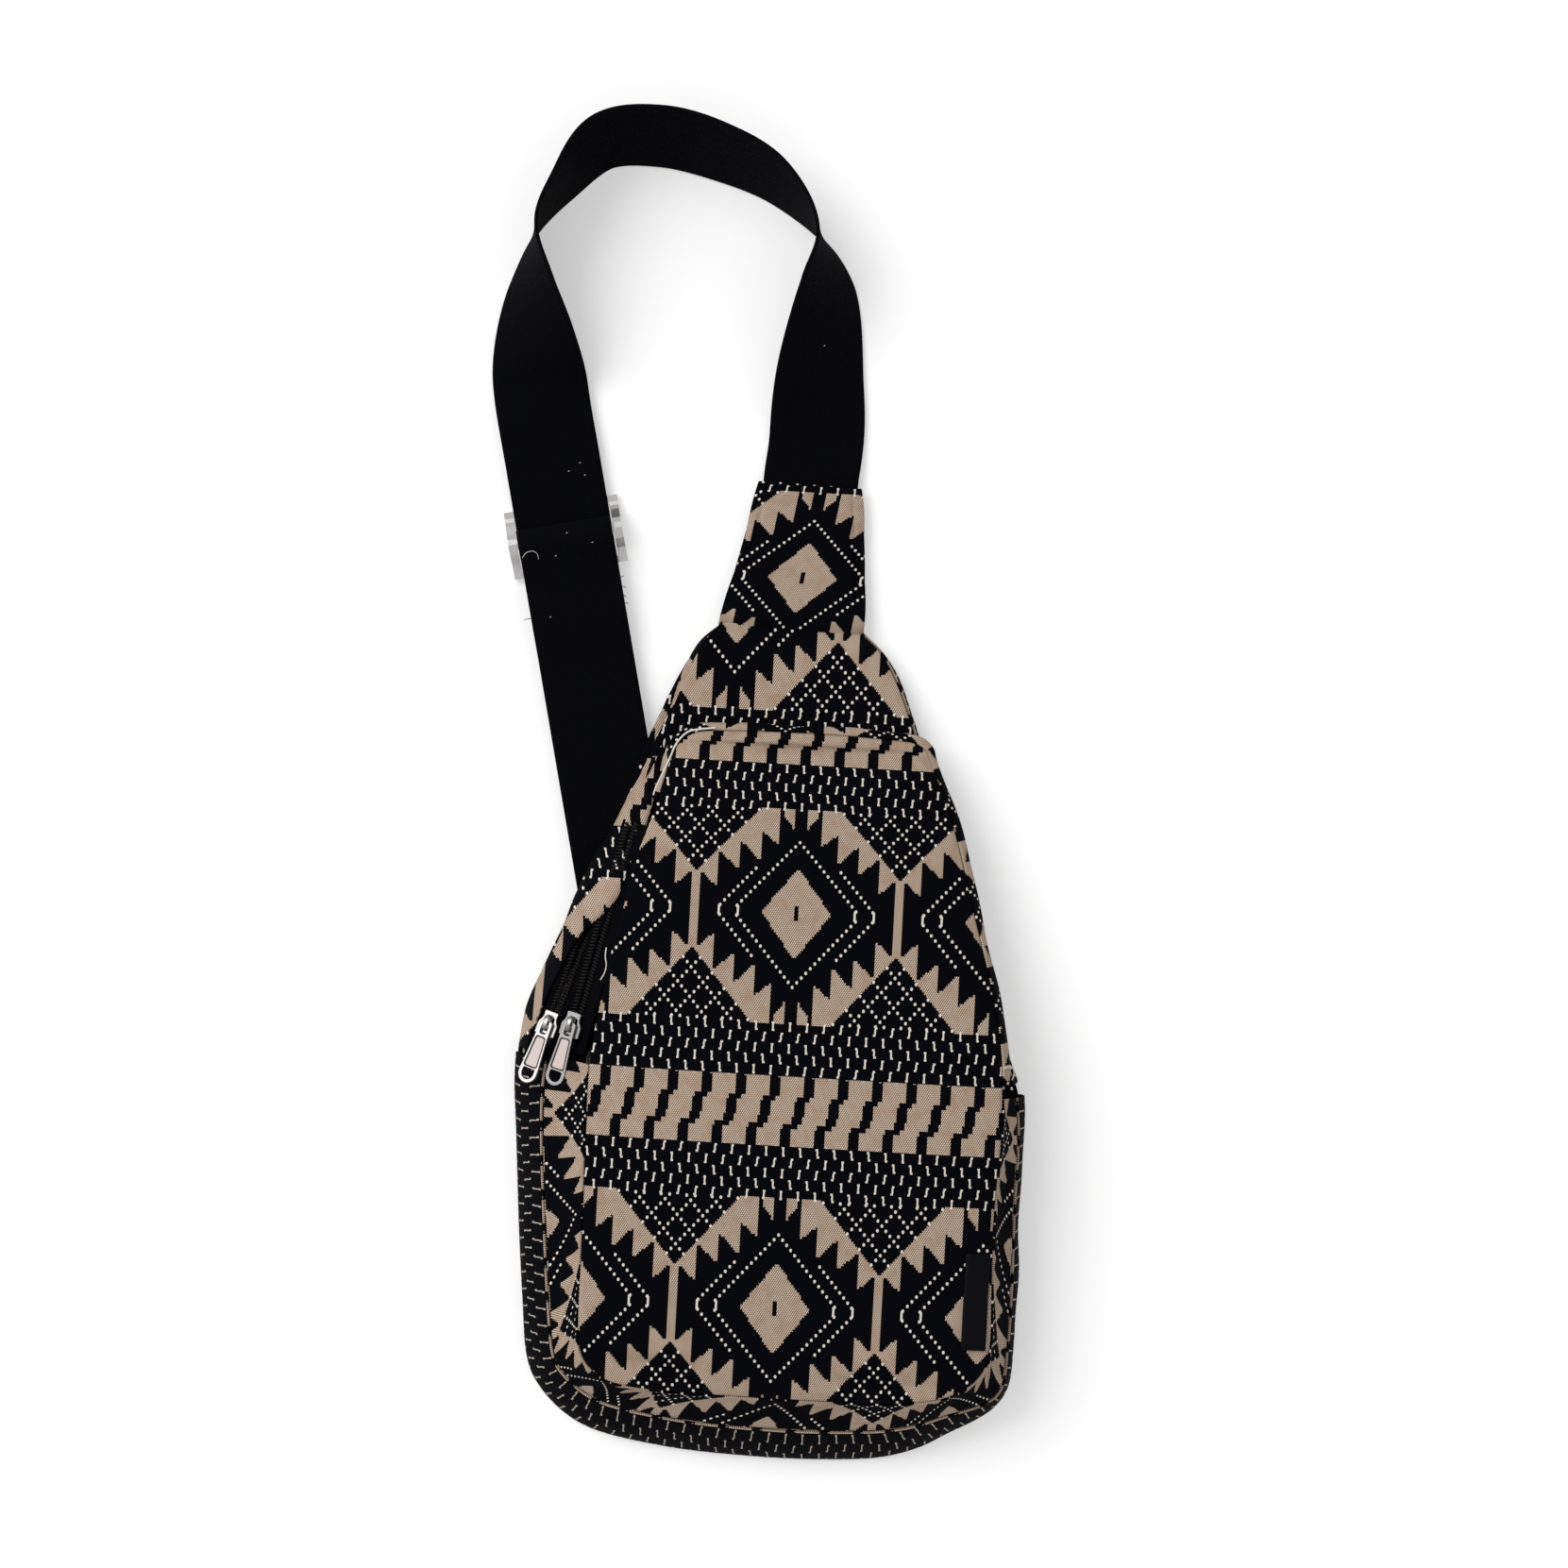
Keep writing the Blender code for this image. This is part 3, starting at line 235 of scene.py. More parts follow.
    # Threads: slanted cream loops over brown gaps, every other row set half a thread along
    thread_row = times(v, 1 / 0.78)
    row_index = maths("FLOOR", thread_row)
    up_thread = add(thread_row, times(row_index, -1.0), -0.5)
    offset = times(maths("FLOORED_MODULO", row_index, 2.0), 0.5)
    side = add(maths("FRACT", add(u, offset)), -0.5)
    slanted = add(side, times(up_thread, -0.30))
    loop = add(
        maths("POWER", times(maths("ABSOLUTE", slanted), 1 / 0.36), 2.0),
        maths("POWER", times(maths("ABSOLUTE", up_thread), 1 / 0.56), 2.0),
    )
    lit = tree.nodes.new("ShaderNodeMapRange")
    lit.inputs["From Min"].default_value = 1.25
    lit.inputs["From Max"].default_value = 0.45
    tree.links.new(loop, lit.inputs["Value"])

    def blend(factor, first, second):
        node = tree.nodes.new("ShaderNodeMix")
        node.data_type = "RGBA"
        tree.links.new(factor, node.inputs["Factor"])
        for socket, value in ((node.inputs["A"], first), (node.inputs["B"], second)):
            if isinstance(value, tuple):
                socket.default_value = (*value, 1.0)
            else:
                tree.links.new(value, socket)
        return node.outputs["Result"]

    # Beige yarn, browner in soft random patches of painted shade, and black yarn
    gap, yarn, shaded_yarn = (0.075, 0.038, 0.022), (0.80, 0.64, 0.50), (0.36, 0.205, 0.130)
    black_gap, black_yarn = (0.0008, 0.0010, 0.0020), (0.0024, 0.0026, 0.0046)
    light = blend(lit.outputs["Result"], gap, yarn)
    # A noise lays soft patches of painted brown shade over the beige yarn.
    cloud = tree.nodes.new("ShaderNodeTexNoise")
    cloud.inputs["Scale"].default_value = 0.16
    cloud.inputs["Detail"].default_value = 4.0
    tree.links.new(uv.outputs["UV"], cloud.inputs["Vector"])
    patches = times(add(cloud.outputs["Fac"], -0.47), 2.2)
    painted_shade = maths("MINIMUM", maths("MAXIMUM", patches, 0.0), 0.4)
    light = blend(painted_shade, light, shaded_yarn)
    light = blend(marks, light, mark_colour)
    dark = blend(lit.outputs["Result"], black_gap, black_yarn)
    colour = blend(beige, dark, light)
    tree.links.new(colour, shader.inputs["Base Color"])
    bump = tree.nodes.new("ShaderNodeBump")
    bump.inputs["Strength"].default_value = 0.5
    bump.inputs["Distance"].default_value = 0.0003
    height = add(lit.outputs["Result"], times(beige, 0.6))
    tree.links.new(height, bump.inputs["Height"])
    tree.links.new(bump.outputs["Normal"], shader.inputs["Normal"])
    return material


# Round the bottom the cloth turns away from the light: a second copy of the cloth carries painted
# shade, with its marks drawn thinner and dimmer.
jacquard = jacquard_material("jacquard", 0.40, (0.80, 0.735, 0.645))
shaded_gusset_jacquard = jacquard_material("shaded_gusset_jacquard", 0.27, (0.50, 0.43, 0.36))

# How far apart the threads are across the cloth and up it
THREAD_X, THREAD_Y = 0.848, 0.981


def place(points):
    """Table millimetres to the part's own metres."""
    return (np.asarray(points, float) - (0.0, 150.0, 0.0)) * 0.001


def run_length(points):
    """How far along a line of points each of them is."""
    return np.concatenate([[0.0], np.cumsum(np.linalg.norm(np.diff(points, axis=0), axis=1))])


def through(points, count):
    """Evenly spaced points on a smooth curve through these, whatever their dimension."""
    points = np.asarray(points, float)
    ends = (2 * points[0] - points[1], 2 * points[-1] - points[-2])
    points = np.vstack([ends[0], points, ends[1]])
    rows = []
    for a, b, c, d in zip(points, points[1:], points[2:], points[3:]):
        spans = [max(np.linalg.norm((s - r)[:3]), 1e-6) ** 0.5 for r, s in ((a, b), (b, c), (c, d))]
        m = (b - a) / spans[0] - (c - a) / (spans[0] + spans[1]) + (c - b) / spans[1]
        n = (c - b) / spans[1] - (d - b) / (spans[1] + spans[2]) + (d - c) / spans[2]
        m, n = m * spans[1], n * spans[1]
        for t in np.linspace(0, 1, 24, endpoint=False):
            rows.append(
                b * (1 + 2 * t) * (1 - t) ** 2 + c * t * t * (3 - 2 * t)
                + m * t * (1 - t) ** 2 - n * t * t * (1 - t)
            )
    rows.append(points[-2])
    rows = np.array(rows)
    length = run_length(rows[:, :2])
    even = np.linspace(0, length[-1], count)
    return np.column_stack([np.interp(even, length, column) for column in rows.T])


def smooth(t):
    """A soft step from 0 to 1."""
    t = np.clip(t, 0.0, 1.0)
    return t * t * (3 - 2 * t)


def finish_piece(thing, body, cad=()):
    """Says which body a piece moves with, which CAD nodes it stands for."""
    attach(thing, body)
    if cad:
        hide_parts(*cad)


def sheet(name, points, uvs, material, thickness, cad, body="bag"):
    """A thickened sheet of cloth over a grid of points, which stands for some CAD nodes."""
    count, across = points.shape[:2]
    shape = bmesh.new()
    bmesh.ops.create_grid(shape, x_segments=across - 1, y_segments=count - 1, size=1.0)
    mesh = bpy.data.meshes.new(name)
    shape.to_mesh(mesh)
    shape.free()
    mesh.vertices.foreach_set("co", place(points).astype(np.float32).ravel())
    mesh.update()
    layer = mesh.uv_layers.new(name="threads")
    corner = np.empty(len(mesh.loops), np.int32)
    mesh.loops.foreach_get("vertex_index", corner)
    layer.data.foreach_set("uv", uvs.reshape(-1, 2)[corner].astype(np.float32).ravel())
    mesh.shade_smooth()
    mesh.materials.append(material)
    thing = bpy.data.objects.new(name, mesh)
    scene.collection.objects.link(thing)
    solid = thing.modifiers.new("cloth", "SOLIDIFY")
    solid.thickness = thickness * 0.001
    solid.offset = -1.0
    finish_piece(thing, body, cad)
    return thing


def fold(points, start, end, depth, width):
    """Presses a soft crease into points along a line, or raises a ridge where depth is negative."""
    start, end = np.array(start, float), np.array(end, float)
    run = end - start
    offset = points[..., :2] - start
    along = np.clip((offset @ run) / (run @ run), 0, 1)
    away = np.linalg.norm(offset - along[..., None] * run, axis=-1)
    fade = np.sin(np.pi * np.clip(along, 0.02, 0.98)) ** 0.5
    points[..., 2] -= depth * np.exp(-((away / width) ** 2)) * fade


# Shape of the body, station by station from the left side under the zips, round the bottom and
# up the right side: the back seam's x and y, how far the front seam lies inside it and how high,
# and the pocket's front seam.
LOWER = (
    (-109.4, 158.0, 14.5, 20.0, -78.2, 156.0, 30.0),
    (-109.3, 146.0, 13.5, 21.5, -78.2, 144.0, 33.0),
    (-107.6, 127.0, 12.4, 23.0, -77.8, 127.0, 36.0),
    (-104.4, 89.0, 12.4, 23.0, -77.0, 89.0, 36.0),
    (-101.3, 59.0, 12.4, 23.0, -76.9, 60.0, 36.0),
    (-98.5, 37.0, 13.0, 23.0, -75.8, 46.0, 35.5),
    (-95.0, 28.0, 13.5, 22.5, -73.3, 40.0, 35.0),
    (-85.4, 17.0, 14.5, 22.0, -67.5, 34.5, 34.5),
    (-72.0, 9.0, 15.0, 22.0, -59.0, 31.5, 34.0),
    (-41.5, 3.0, 15.0, 22.0, -37.5, 29.8, 34.0),
    (-11.0, 1.0, 15.0, 22.5, -10.0, 29.4, 34.5),
    (19.0, 1.0, 15.0, 23.0, 20.0, 29.4, 35.5),
    (46.0, 3.3, 14.5, 23.5, 46.0, 30.0, 36.5),
    (61.0, 8.0, 13.0, 24.0, 60.0, 31.5, 37.5),
    (72.5, 14.5, 11.0, 24.5, 70.5, 34.5, 38.5),
    (90.0, 26.0, 7.0, 25.0, 79.5, 40.5, 39.5),
    (95.3, 35.0, 5.0, 25.5, 83.8, 47.5, 40.0),
    (95.8, 53.0, 3.5, 26.0, 85.0, 57.0, 41.0),
    (95.7, 70.0, 3.0, 26.0, 84.6, 72.0, 41.0),
    (95.1, 108.0, 3.0, 26.0, 83.8, 108.0, 41.0),
    (95.1, 136.0, 3.0, 26.0, 85.0, 137.0, 41.0),
    (94.2, 152.0, 3.5, 25.3, 84.6, 152.0, 39.8),
)
RIGHT = (
    (92.2, 158.0, 3.5, 25.0, 84.3, 159.0, 39.5),
    (88.0, 167.0, 2.5, 23.6, 83.3, 170.0, 38.4),
    (84.3, 182.0, 2.0, 22.0, 81.0, 183.0, 37.0),
    (79.0, 197.0, 2.0, 21.0, 77.4, 198.0, 35.0),
    (72.6, 210.0, 2.0, 20.0, 73.4, 212.0, 33.0),
    (66.4, 225.0, 2.0, 19.0, 68.8, 228.0, 30.5),
    (60.2, 248.0, 2.0, 17.0, 62.9, 249.0, 27.0),
    (54.0, 267.0, 1.8, 15.0, 57.2, 266.0, 24.0),
    (47.0, 286.5, 1.5, 13.0, 49.5, 283.0, 19.5),
)
LEFT = (
    (-109.2, 161.0, 15.0, 17.0),
    (-107.0, 177.0, 15.2, 15.2),
    (-101.8, 191.0, 14.0, 14.6),
    (-94.5, 208.0, 12.3, 13.6),
    (-87.0, 223.0, 10.5, 13.0),
    (-81.0, 238.0, 7.5, 12.2),
    (-74.0, 250.0, 6.5, 12.0),
    (-67.0, 277.0, 5.5, 11.0),
    (-61.9, 292.0, 5.0, 10.0),
    (-55.2, 306.0, 4.0, 9.0),
    (-45.8, 326.5, 3.0, 7.0),
    (-36.8, 335.0, 1.0, 6.0),
)
UPPER_RIGHT = (
    (41.6, 301.0, 1.3, 11.0),
    (34.8, 316.0, 1.0, 9.0),
    (28.2, 326.0, 0.8, 7.6),
    (20.4, 332.6, 0.4, 6.0),
)


def inward(curve, centre=(-5.0, 150.0)):
    """Unit vectors in the plane, square to a curve and turned towards the bag's middle."""
    slope = np.gradient(curve[:, :2], axis=0)
    normal = np.column_stack([-slope[:, 1], slope[:, 0]])
    normal /= np.linalg.norm(normal, axis=1)[:, None]
    facing = np.sum(normal * (np.array(centre) - curve[:, :2]), axis=1)
    return normal * np.where(facing < 0, -1.0, 1.0)[:, None]


def seams(table, count):
    """The back seam and the front seam of a run of stations."""
    rows = through([(row[0], row[1], 0.0, row[2], row[3]) for row in table], count)
    turn = inward(rows)
    back = np.column_stack([rows[:, :2] + turn * 1.2, np.full(count, 2.2)])
    front = np.column_stack([rows[:, :2] + turn * rows[:, 3:4], rows[:, 4]])
    return back, front, turn


def strip(name, cad, outer, inner, turn, bulge, start=0.0, across=(0.0, 0.0), steps=14,
          counts=None, cloth=jacquard):
    """A gusset between two seams, swelling outwards, with its pattern running along it.

    The pattern's middle is at start, or where a table of (length, start) puts it, and across
    gives its first and last thread. Where the cloth isn't turned along the strip, counts gives
    the thread counts of its points instead.
    """
    share = np.linspace(0, 1, steps + 1)[None, :, None]
    points = outer[:, None] * (1 - share) + inner[:, None] * share
    swell = np.sin(np.pi * share) ** 0.8 * bulge
    points[..., :2] -= turn[:, None] * swell
    points[..., 2] += swell[..., 0] * 0.25
    length = run_length((outer + inner) / 2)
    ripple = 0.35 * np.sin(length / 11.0) + 0.25 * np.sin(length / 5.3 + 1.0)
    points[..., :2] -= turn[:, None] * ripple[:, None, None] * np.sin(np.pi * share)
    if counts:
        return sheet(name, points, counts(points), cloth, 0.9, (cad,))
    if not isinstance(start, float):
        start = np.interp(length, *zip(*start))
    u = (length - start) / THREAD_X
    v = across[0] + (across[1] - across[0]) * share[0, :, 0]
    uvs = np.stack(np.broadcast_arrays(u[:, None], v[None, :]), -1)
    return sheet(name, points, uvs, cloth, 0.9, (cad,))


# The strap's straight line: it leans to the left, from the ring under the bag to the adjuster.
STRAP_LEAN = 0.2275
strap_line = np.array([-STRAP_LEAN, 1.0]) / math.hypot(STRAP_LEAN, 1.0)


def strap_x(y):
    """Where the middle of the strap's straight part is at this height."""
    return -76.5 - STRAP_LEAN * (y - 260.0)


# Back panel: one flat piece of the same cloth, sewn to the gussets round its whole edge. It is
# raised where the strap's end and its ring lie under it.
def lift(x, y):
    """How far the back stands off the ground where it covers the strap and its ring."""
    height, reach, slope = 6.3, 40.0, 13.0
    offset = np.stack([x, y], -1) - np.array([strap_x(65.0), 65.0])
    run = np.maximum(0.0, offset @ strap_line)
    away = np.linalg.norm(offset - run[..., None] * strap_line, axis=-1)
    return height * smooth((reach - away) / slope)


def fill(boundary_left, boundary_right, rows, columns):
    """Points across from one side curve to the other, row by row."""
    left, right = through(boundary_left, rows), through(boundary_right, rows)
    share = np.linspace(0, 1, columns)[None, :, None]
    return left[:, None] * (1 - share) + right[:, None] * share


def plain_uv(points, centre_x, centre_y):
    """Thread counts for a flat piece whose diamond is centred at this point."""
    u = (points[..., 0] - centre_x) / THREAD_X
    v = (points[..., 1] - centre_y) / THREAD_Y
    return np.stack([u, v], -1)


def patch(left, right, bottom, top):
    """A smooth grid inside four edge curves that share their corners."""
    s = np.linspace(0, 1, len(bottom))[None, :, None]
    t = np.linspace(0, 1, len(left))[:, None, None]
    sides = left[:, None] * (1 - s) + right[:, None] * s
    ends = bottom[None] * (1 - t) + top[None] * t
    corners = (left[0] * (1 - s) + right[0] * s) * (1 - t) + (left[-1] * (1 - s) + right[-1] * s) * t
    return sides + ends - corners


def closed_panel(loop, corners, rows, columns):
    """A panel inside a closed loop of points, given the loop's indices of its four corners."""
    a, b, c, d = corners
    left = through(loop[a : b + 1][::-1], rows)
    bottom = through(loop[b : c + 1], columns)
    right = through(loop[c : d + 1], rows)
    top = through(np.vstack([loop[d:], loop[: a + 1]]), columns)[::-1]
    return patch(left, right, bottom, top)


lower_back, lower_front, lower_turn = seams(LOWER, 420)
right_back, right_front, right_turn = seams(RIGHT + UPPER_RIGHT, 200)
left_back, left_front, left_turn = seams(LEFT, 200)


def low_corner(x, y):
    """The place in the outline of the lower back seam's point nearest to this one."""
    away = np.abs(lower_back[:, 0] - x) + np.abs(lower_back[:, 1] - y)
    return len(left_back) + int(np.argmin(away))


outline = np.vstack([left_back[::-1], lower_back, right_back])
outline[:, 2] = 2.0
low_left, low_right = low_corner(-88.0, 20.0), low_corner(85.0, 24.0)
back_points = closed_panel(outline, (0, low_left, low_right, len(outline) - 1), 150, 100)
back_points[..., 2] = 2.0 + lift(back_points[..., 0], back_points[..., 1])
sheet("back_cloth", back_points, plain_uv(back_points, 6.0, 100.0), jacquard, 1.9, ("back_panel",))

# Main gusset: a strip of cloth sewn round the bottom and sides, turned so that the repeat runs
# along it. The piece under the zips and the piece up the right side are sewn on to its ends.
# The bottom strip wears the copy of the cloth whose marks are dimmed with painted shade.
strip("main_gusset", "main_bottom_gusset", lower_back, lower_front, lower_turn,
      bulge=1.6, start=250.0, across=(108.5, 93.5), cloth=shaded_gusset_jacquard)
strip("main_gusset_right", "main_side_gusset", right_back, right_front, right_turn,
      bulge=0.8, start=20.0, across=(118.0, 92.0))


# Main front panel: the cloth behind the pocket. Only its top and its rim show, and it is black
# where it is turned under beside the zips.
def front_height(points):
    """Raises the middle of a panel, most half way across, and lets it settle at its rim."""
    s = np.linspace(0, 1, points.shape[1])[None, :]
    t = np.linspace(0, 1, points.shape[0])[:, None]
    return (np.sin(np.pi * s) ** 0.6) * (np.sin(np.pi * t) ** 0.5)


front_loop = np.vstack([left_front[::-1], lower_front, right_front])
front_points = closed_panel(front_loop, (0, low_left, low_right, len(front_loop) - 1), 170, 110)
front_points[..., 2] += 1.0 + 3.6 * front_height(front_points)
fold(front_points, (-38.0, 329.0), (18.0, 327.0), 1.6, 4.0)
fold(front_points, (-30.0, 318.0), (-6.0, 331.0), -1.0, 4.0)

# Where each zip's slider sits at rest, how far the zip leans to the right, and how it climbs
MAIN_SLIDER, MAIN_LEAN, MAIN_CLIMB = (-95.0, 170.5, 18.0), 0.3153, -0.060
POCKET_SLIDER, POCKET_LEAN, POCKET_CLIMB = (-85.5, 171.0, 22.0), 0.2309, 0.030

# A trough under the main zip leaves room for the slider's lower plate, all the way up
clearance, half_width, zip_length = 3.6, 5.5, 90.0
past_slider = front_points[..., 1] - MAIN_SLIDER[1]
from_zip = np.abs(front_points[..., 0] - MAIN_SLIDER[0] - MAIN_LEAN * past_slider)
under_zip = MAIN_SLIDER[2] + MAIN_CLIMB * past_slider - clearance
under_zip += np.maximum(0.0, from_zip - half_width)
under_zip[(past_slider < 0.0) | (past_slider > zip_length)] = np.inf
front_points[..., 2] = np.minimum(front_points[..., 2], under_zip)

# Beside the zips the whole cloth shows one black thread of the pattern
front_x, front_y = front_points[..., 0], front_points[..., 1]
front_uvs = plain_uv(front_points, -29.7, 344.0)
beside_zip = front_x < -75.5 + POCKET_LEAN * (front_y - POCKET_SLIDER[1])
front_uvs[beside_zip & (front_y > 140.0) & (front_y < 262.0)] = (0.0, 24.0)
sheet("main_front", front_points, front_uvs, jacquard, 1.0,
      ("main_front_panel", "main_lining_front", "main_lining_back"))

# Strip under the zips: cloth between the back seam and the main zip. Higher up it folds over the
# zip's end to the pocket's edge. The table has its inner seam, and how far it swells there.
strip_seam = through(
    (
        (-104.2, 160.0, 17.2, 0.8),
        (-99.6, 176.0, 17.0, 0.8),
        (-94.0, 190.0, 16.6, 0.8),
        (-89.2, 200.0, 16.8, 1.5),
        (-84.5, 208.0, 20.0, 3.5),
        (-77.0, 215.0, 24.6, 6.5),
        (-71.5, 222.0, 26.4, 7.0),
        (-66.0, 238.0, 26.0, 6.5),
        (-61.0, 253.0, 23.5, 5.0),
        (-58.0, 268.0, 17.0, 2.5),
        (-56.0, 285.0, 12.4, 0.8),
        (-52.0, 300.0, 9.8, 0.5),
        (-43.5, 322.0, 7.2, 0.5),
        (-36.3, 334.6, 6.0, 0.3),
    ),
    200,
)


def upright(points):
    """Thread counts down the strip, whose cloth stands upright and turns with its slope."""
    centre_x = np.interp(points[..., 1], [205.0, 235.0, 255.0], [-60.0, -62.0, -66.4])
    return plain_uv(points, centre_x, 186.0)


strip("zip_side_strip", "main_zip_strip", left_back, strip_seam[:, :3], left_turn,
      bulge=strip_seam[:, 3][:, None, None], steps=22, counts=upright)


# Zips: two black nylon coil zips, side by side. Each has woven tapes, a coil on each tape, a
# nickel slider and a long pull with a pale inlaid plate and a thumb hole.
def zip_frame(start, lean, climb):
    """Across, along and out of a zip, from where its slider sits, in metres."""
    run = Vector((lean, 1.0, climb)).normalized()
    flat = Vector((1.0, -lean, 0.0)).normalized()
    tilt = math.radians(24.0)
    across = flat * math.cos(tilt) + Vector((0, 0, math.sin(tilt)))
    across = (across - run * across.dot(run)).normalized()
    frame_matrix = Matrix((across, run, across.cross(run))).transposed().to_4x4()
    frame_matrix.translation = Vector(place(start))
    return frame_matrix


MAIN_ZIP = zip_frame(MAIN_SLIDER, MAIN_LEAN, MAIN_CLIMB)
POCKET_ZIP = zip_frame(POCKET_SLIDER, POCKET_LEAN, POCKET_CLIMB)

nickel = new_material("nickel", (0.31, 0.305, 0.30), 0.34, 1.0)[0]
inlay = new_material("inlay", (0.66, 0.54, 0.51), 0.45)[0]
coil_black = new_material("coil_black", (0.004, 0.004, 0.005), 0.45, specular=0.15)[0]

# The stops and the strap's ring keep their CAD shapes
for node in ("main_zip_stop", "pocket_zip_stop", "strap_ring"):
    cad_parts[node].data.materials[0] = nickel


def curve_object(name, lines, radius, material, matrix=None):
    """Round wire along one or more lists of points in millimetres."""
    data = bpy.data.curves.new(name, "CURVE")
    data.dimensions = "3D"
    data.bevel_depth = radius * 0.001
    data.bevel_resolution = 2
    data.use_fill_caps = True
    for line in lines:
        spline = data.splines.new("POLY")
        spline.points.add(len(line) - 1)
        for point, spot in zip(spline.points, line):
            at = matrix @ (Vector(spot) * 0.001) if matrix else Vector(place(spot))
            point.co = (*at, 1.0)
    data.materials.append(material)
    thing = bpy.data.objects.new(name, data)
    scene.collection.objects.link(thing)
    return thing


def coil(name, matrix, side, length, cad):
    """One helix of nylon, flattened, whose turns reach in to the middle of the chain."""
    before_slider, pitch, turn_points = 6.0, 1.36, 10
    middle, half_wide, half_high, wire = 1.72, 1.18, 0.72, 0.40
    half_turn = 0.5 if side > 0 else 0.0
    points = []
    for step in range(int((length + before_slider) / pitch * turn_points)):
        angle = 2 * math.pi * step / turn_points
        points.append((
            side * (middle + half_wide * math.cos(angle)),
            -before_slider + pitch * (step / turn_points + half_turn),
            half_high * math.sin(angle),
        ))
    finish_piece(curve_object(name, [points], wire, coil_black, matrix), "bag", cad)


coil("main_coil_outer", MAIN_ZIP, -1, 79.0, ("main_zip_coil_outer",))
coil("main_coil_inner", MAIN_ZIP, 1, 79.0, ("main_zip_coil_inner",))
coil("pocket_coil_outer", POCKET_ZIP, -1, 83.0, ("pocket_zip_coil_outer",))
coil("pocket_coil_inner", POCKET_ZIP, 1, 83.0, ("pocket_zip_coil_inner",))


def plate(name, outline, low, high, material, matrix, holes=(), bevel=0.25):
    """A flat shape with holes, pushed up from low to high, with its edges rounded."""
    data = bpy.data.curves.new(name, "CURVE")
    data.dimensions = "2D"
    data.fill_mode = "BOTH"
    data.extrude = (high - low) / 2 * 0.001 - bevel * 0.001
    data.bevel_depth = bevel * 0.001
    data.offset = -bevel * 0.001
    data.bevel_resolution = 2
    for points in (outline, *holes):
        spline = data.splines.new("POLY")
        spline.points.add(len(points) - 1)
        for point, (x, y) in zip(spline.points, points):
            point.co = (x * 0.001, y * 0.001, 0.0, 1.0)
        spline.use_cyclic_u = True
    thing = bpy.data.objects.new(name, data)
    scene.collection.objects.link(thing)
    bpy.context.view_layer.update()
    graph = bpy.context.evaluated_depsgraph_get()
    mesh = bpy.data.meshes.new_from_object(thing.evaluated_get(graph))
    bpy.data.objects.remove(thing)
    mesh.transform(matrix @ Matrix.Translation((0, 0, (low + high) / 2 * 0.001)))
    mesh.materials.clear()
    mesh.materials.append(material)
    mesh.shade_smooth()
    mesh.set_sharp_from_angle(angle=math.radians(40))
    thing = bpy.data.objects.new(name, mesh)
    scene.collection.objects.link(thing)
    return thing


def arc(centre, radius, start, end, steps):
    """Points on part of a circle, between two angles in degrees."""
    angles = np.radians(np.linspace(start, end, steps + 1))
    return [(centre[0] + radius * math.cos(a), centre[1] + radius * math.sin(a)) for a in angles]


def rounded(points, radius):
    """A closed outline with each corner cut to a soft arc."""
    result = []
    for before, corner, after in zip(points[-1:] + points[:-1], points, points[1:] + points[:1]):
        before, corner, after = (np.array(point) for point in (before, corner, after))
        length_before = np.linalg.norm(before - corner)
        length_after = np.linalg.norm(after - corner)
        reach = min(radius, length_before * 0.45, length_after * 0.45)
        first = corner + (before - corner) / length_before * reach
        last = corner + (after - corner) / length_after * reach
        for t in np.linspace(0, 1, 5):
            spot = first * (1 - t) ** 2 + corner * 2 * t * (1 - t)
            result.append(tuple(spot + last * t * t))
    return result


def zip_slider(label, matrix, body):
    """A cast slider: two waisted plates with lips, a post and a bridge, under which the pull is held.
    """
    outline = [(-3.2, 5.0), (3.2, 5.0), (2.9, 3.2), (3.2, 1.6), (4.4, -0.2), (4.4, -5.0)]
    outline += [(1.4, -5.0), (0.6, -4.2), (-0.6, -4.2), (-1.4, -5.0), (-4.4, -5.0)]
    outline += [(-4.4, -0.2), (-3.2, 1.6), (-2.9, 3.2)]
    outline = rounded(outline, 0.9)
    slot = ((1.2, -2.4), (2.5, -2.4), (2.1, 2.6), (1.2, 2.6))
    slots = [rounded([(side * x, y) for x, y in slot], 0.4) for side in (-1, 1)]
    top = plate(f"{label}_slider_top", outline, 1.4, 2.5, nickel, matrix, slots)
    finish_piece(top, body, (f"{label}_zip_slider",))
    finish_piece(plate(f"{label}_slider_base", outline, -2.5, -1.5, nickel, matrix), body)
    for side in (-1, 1):
        lip = [(3.4, -4.8), (4.4, -4.8), (4.4, -0.4), (3.6, 1.0), (3.2, 1.0)]
        lip = rounded([(side * x, y) for x, y in lip][::side], 0.3)
        for level, low, high in (("upper", 0.75, 1.6), ("lower", -1.7, -0.75)):
            lip_name = f"{label}_slider_lip_{level}{side}"
            piece = plate(lip_name, lip, low, high, nickel, matrix, bevel=0.15)
            finish_piece(piece, body)
    post = rounded([(-0.2, 0.5), (0.2, 0.5), (0.2, 4.6), (-0.2, 4.6)], 0.1)
    piece = plate(f"{label}_slider_post", post, -1.6, 1.6, nickel, matrix, bevel=0.05)
    finish_piece(piece, body)

    # The bridge is drawn from the side, its outer line and then its inner line, and stood up.
    bridge = [(-3.1, 2.2), (-3.1, 3.9), (-2.5, 4.9), (-1.2, 5.3), (1.2, 5.3), (2.7, 4.9)]
    bridge += [(3.4, 3.9), (3.4, 2.2), (2.6, 2.2), (2.6, 3.7), (2.1, 4.2), (1.0, 4.5)]
    bridge += [(-1.0, 4.5), (-1.9, 4.2), (-2.3, 3.7), (-2.3, 2.2)]
    turned = matrix @ Matrix(((0, 0, 1, 0), (1, 0, 0, 0), (0, 1, 0, 0), (0, 0, 0, 1)))
    piece = plate(f"{label}_slider_bridge", bridge, -0.9, 0.9, nickel, turned, bevel=0.2)
    finish_piece(piece, body)


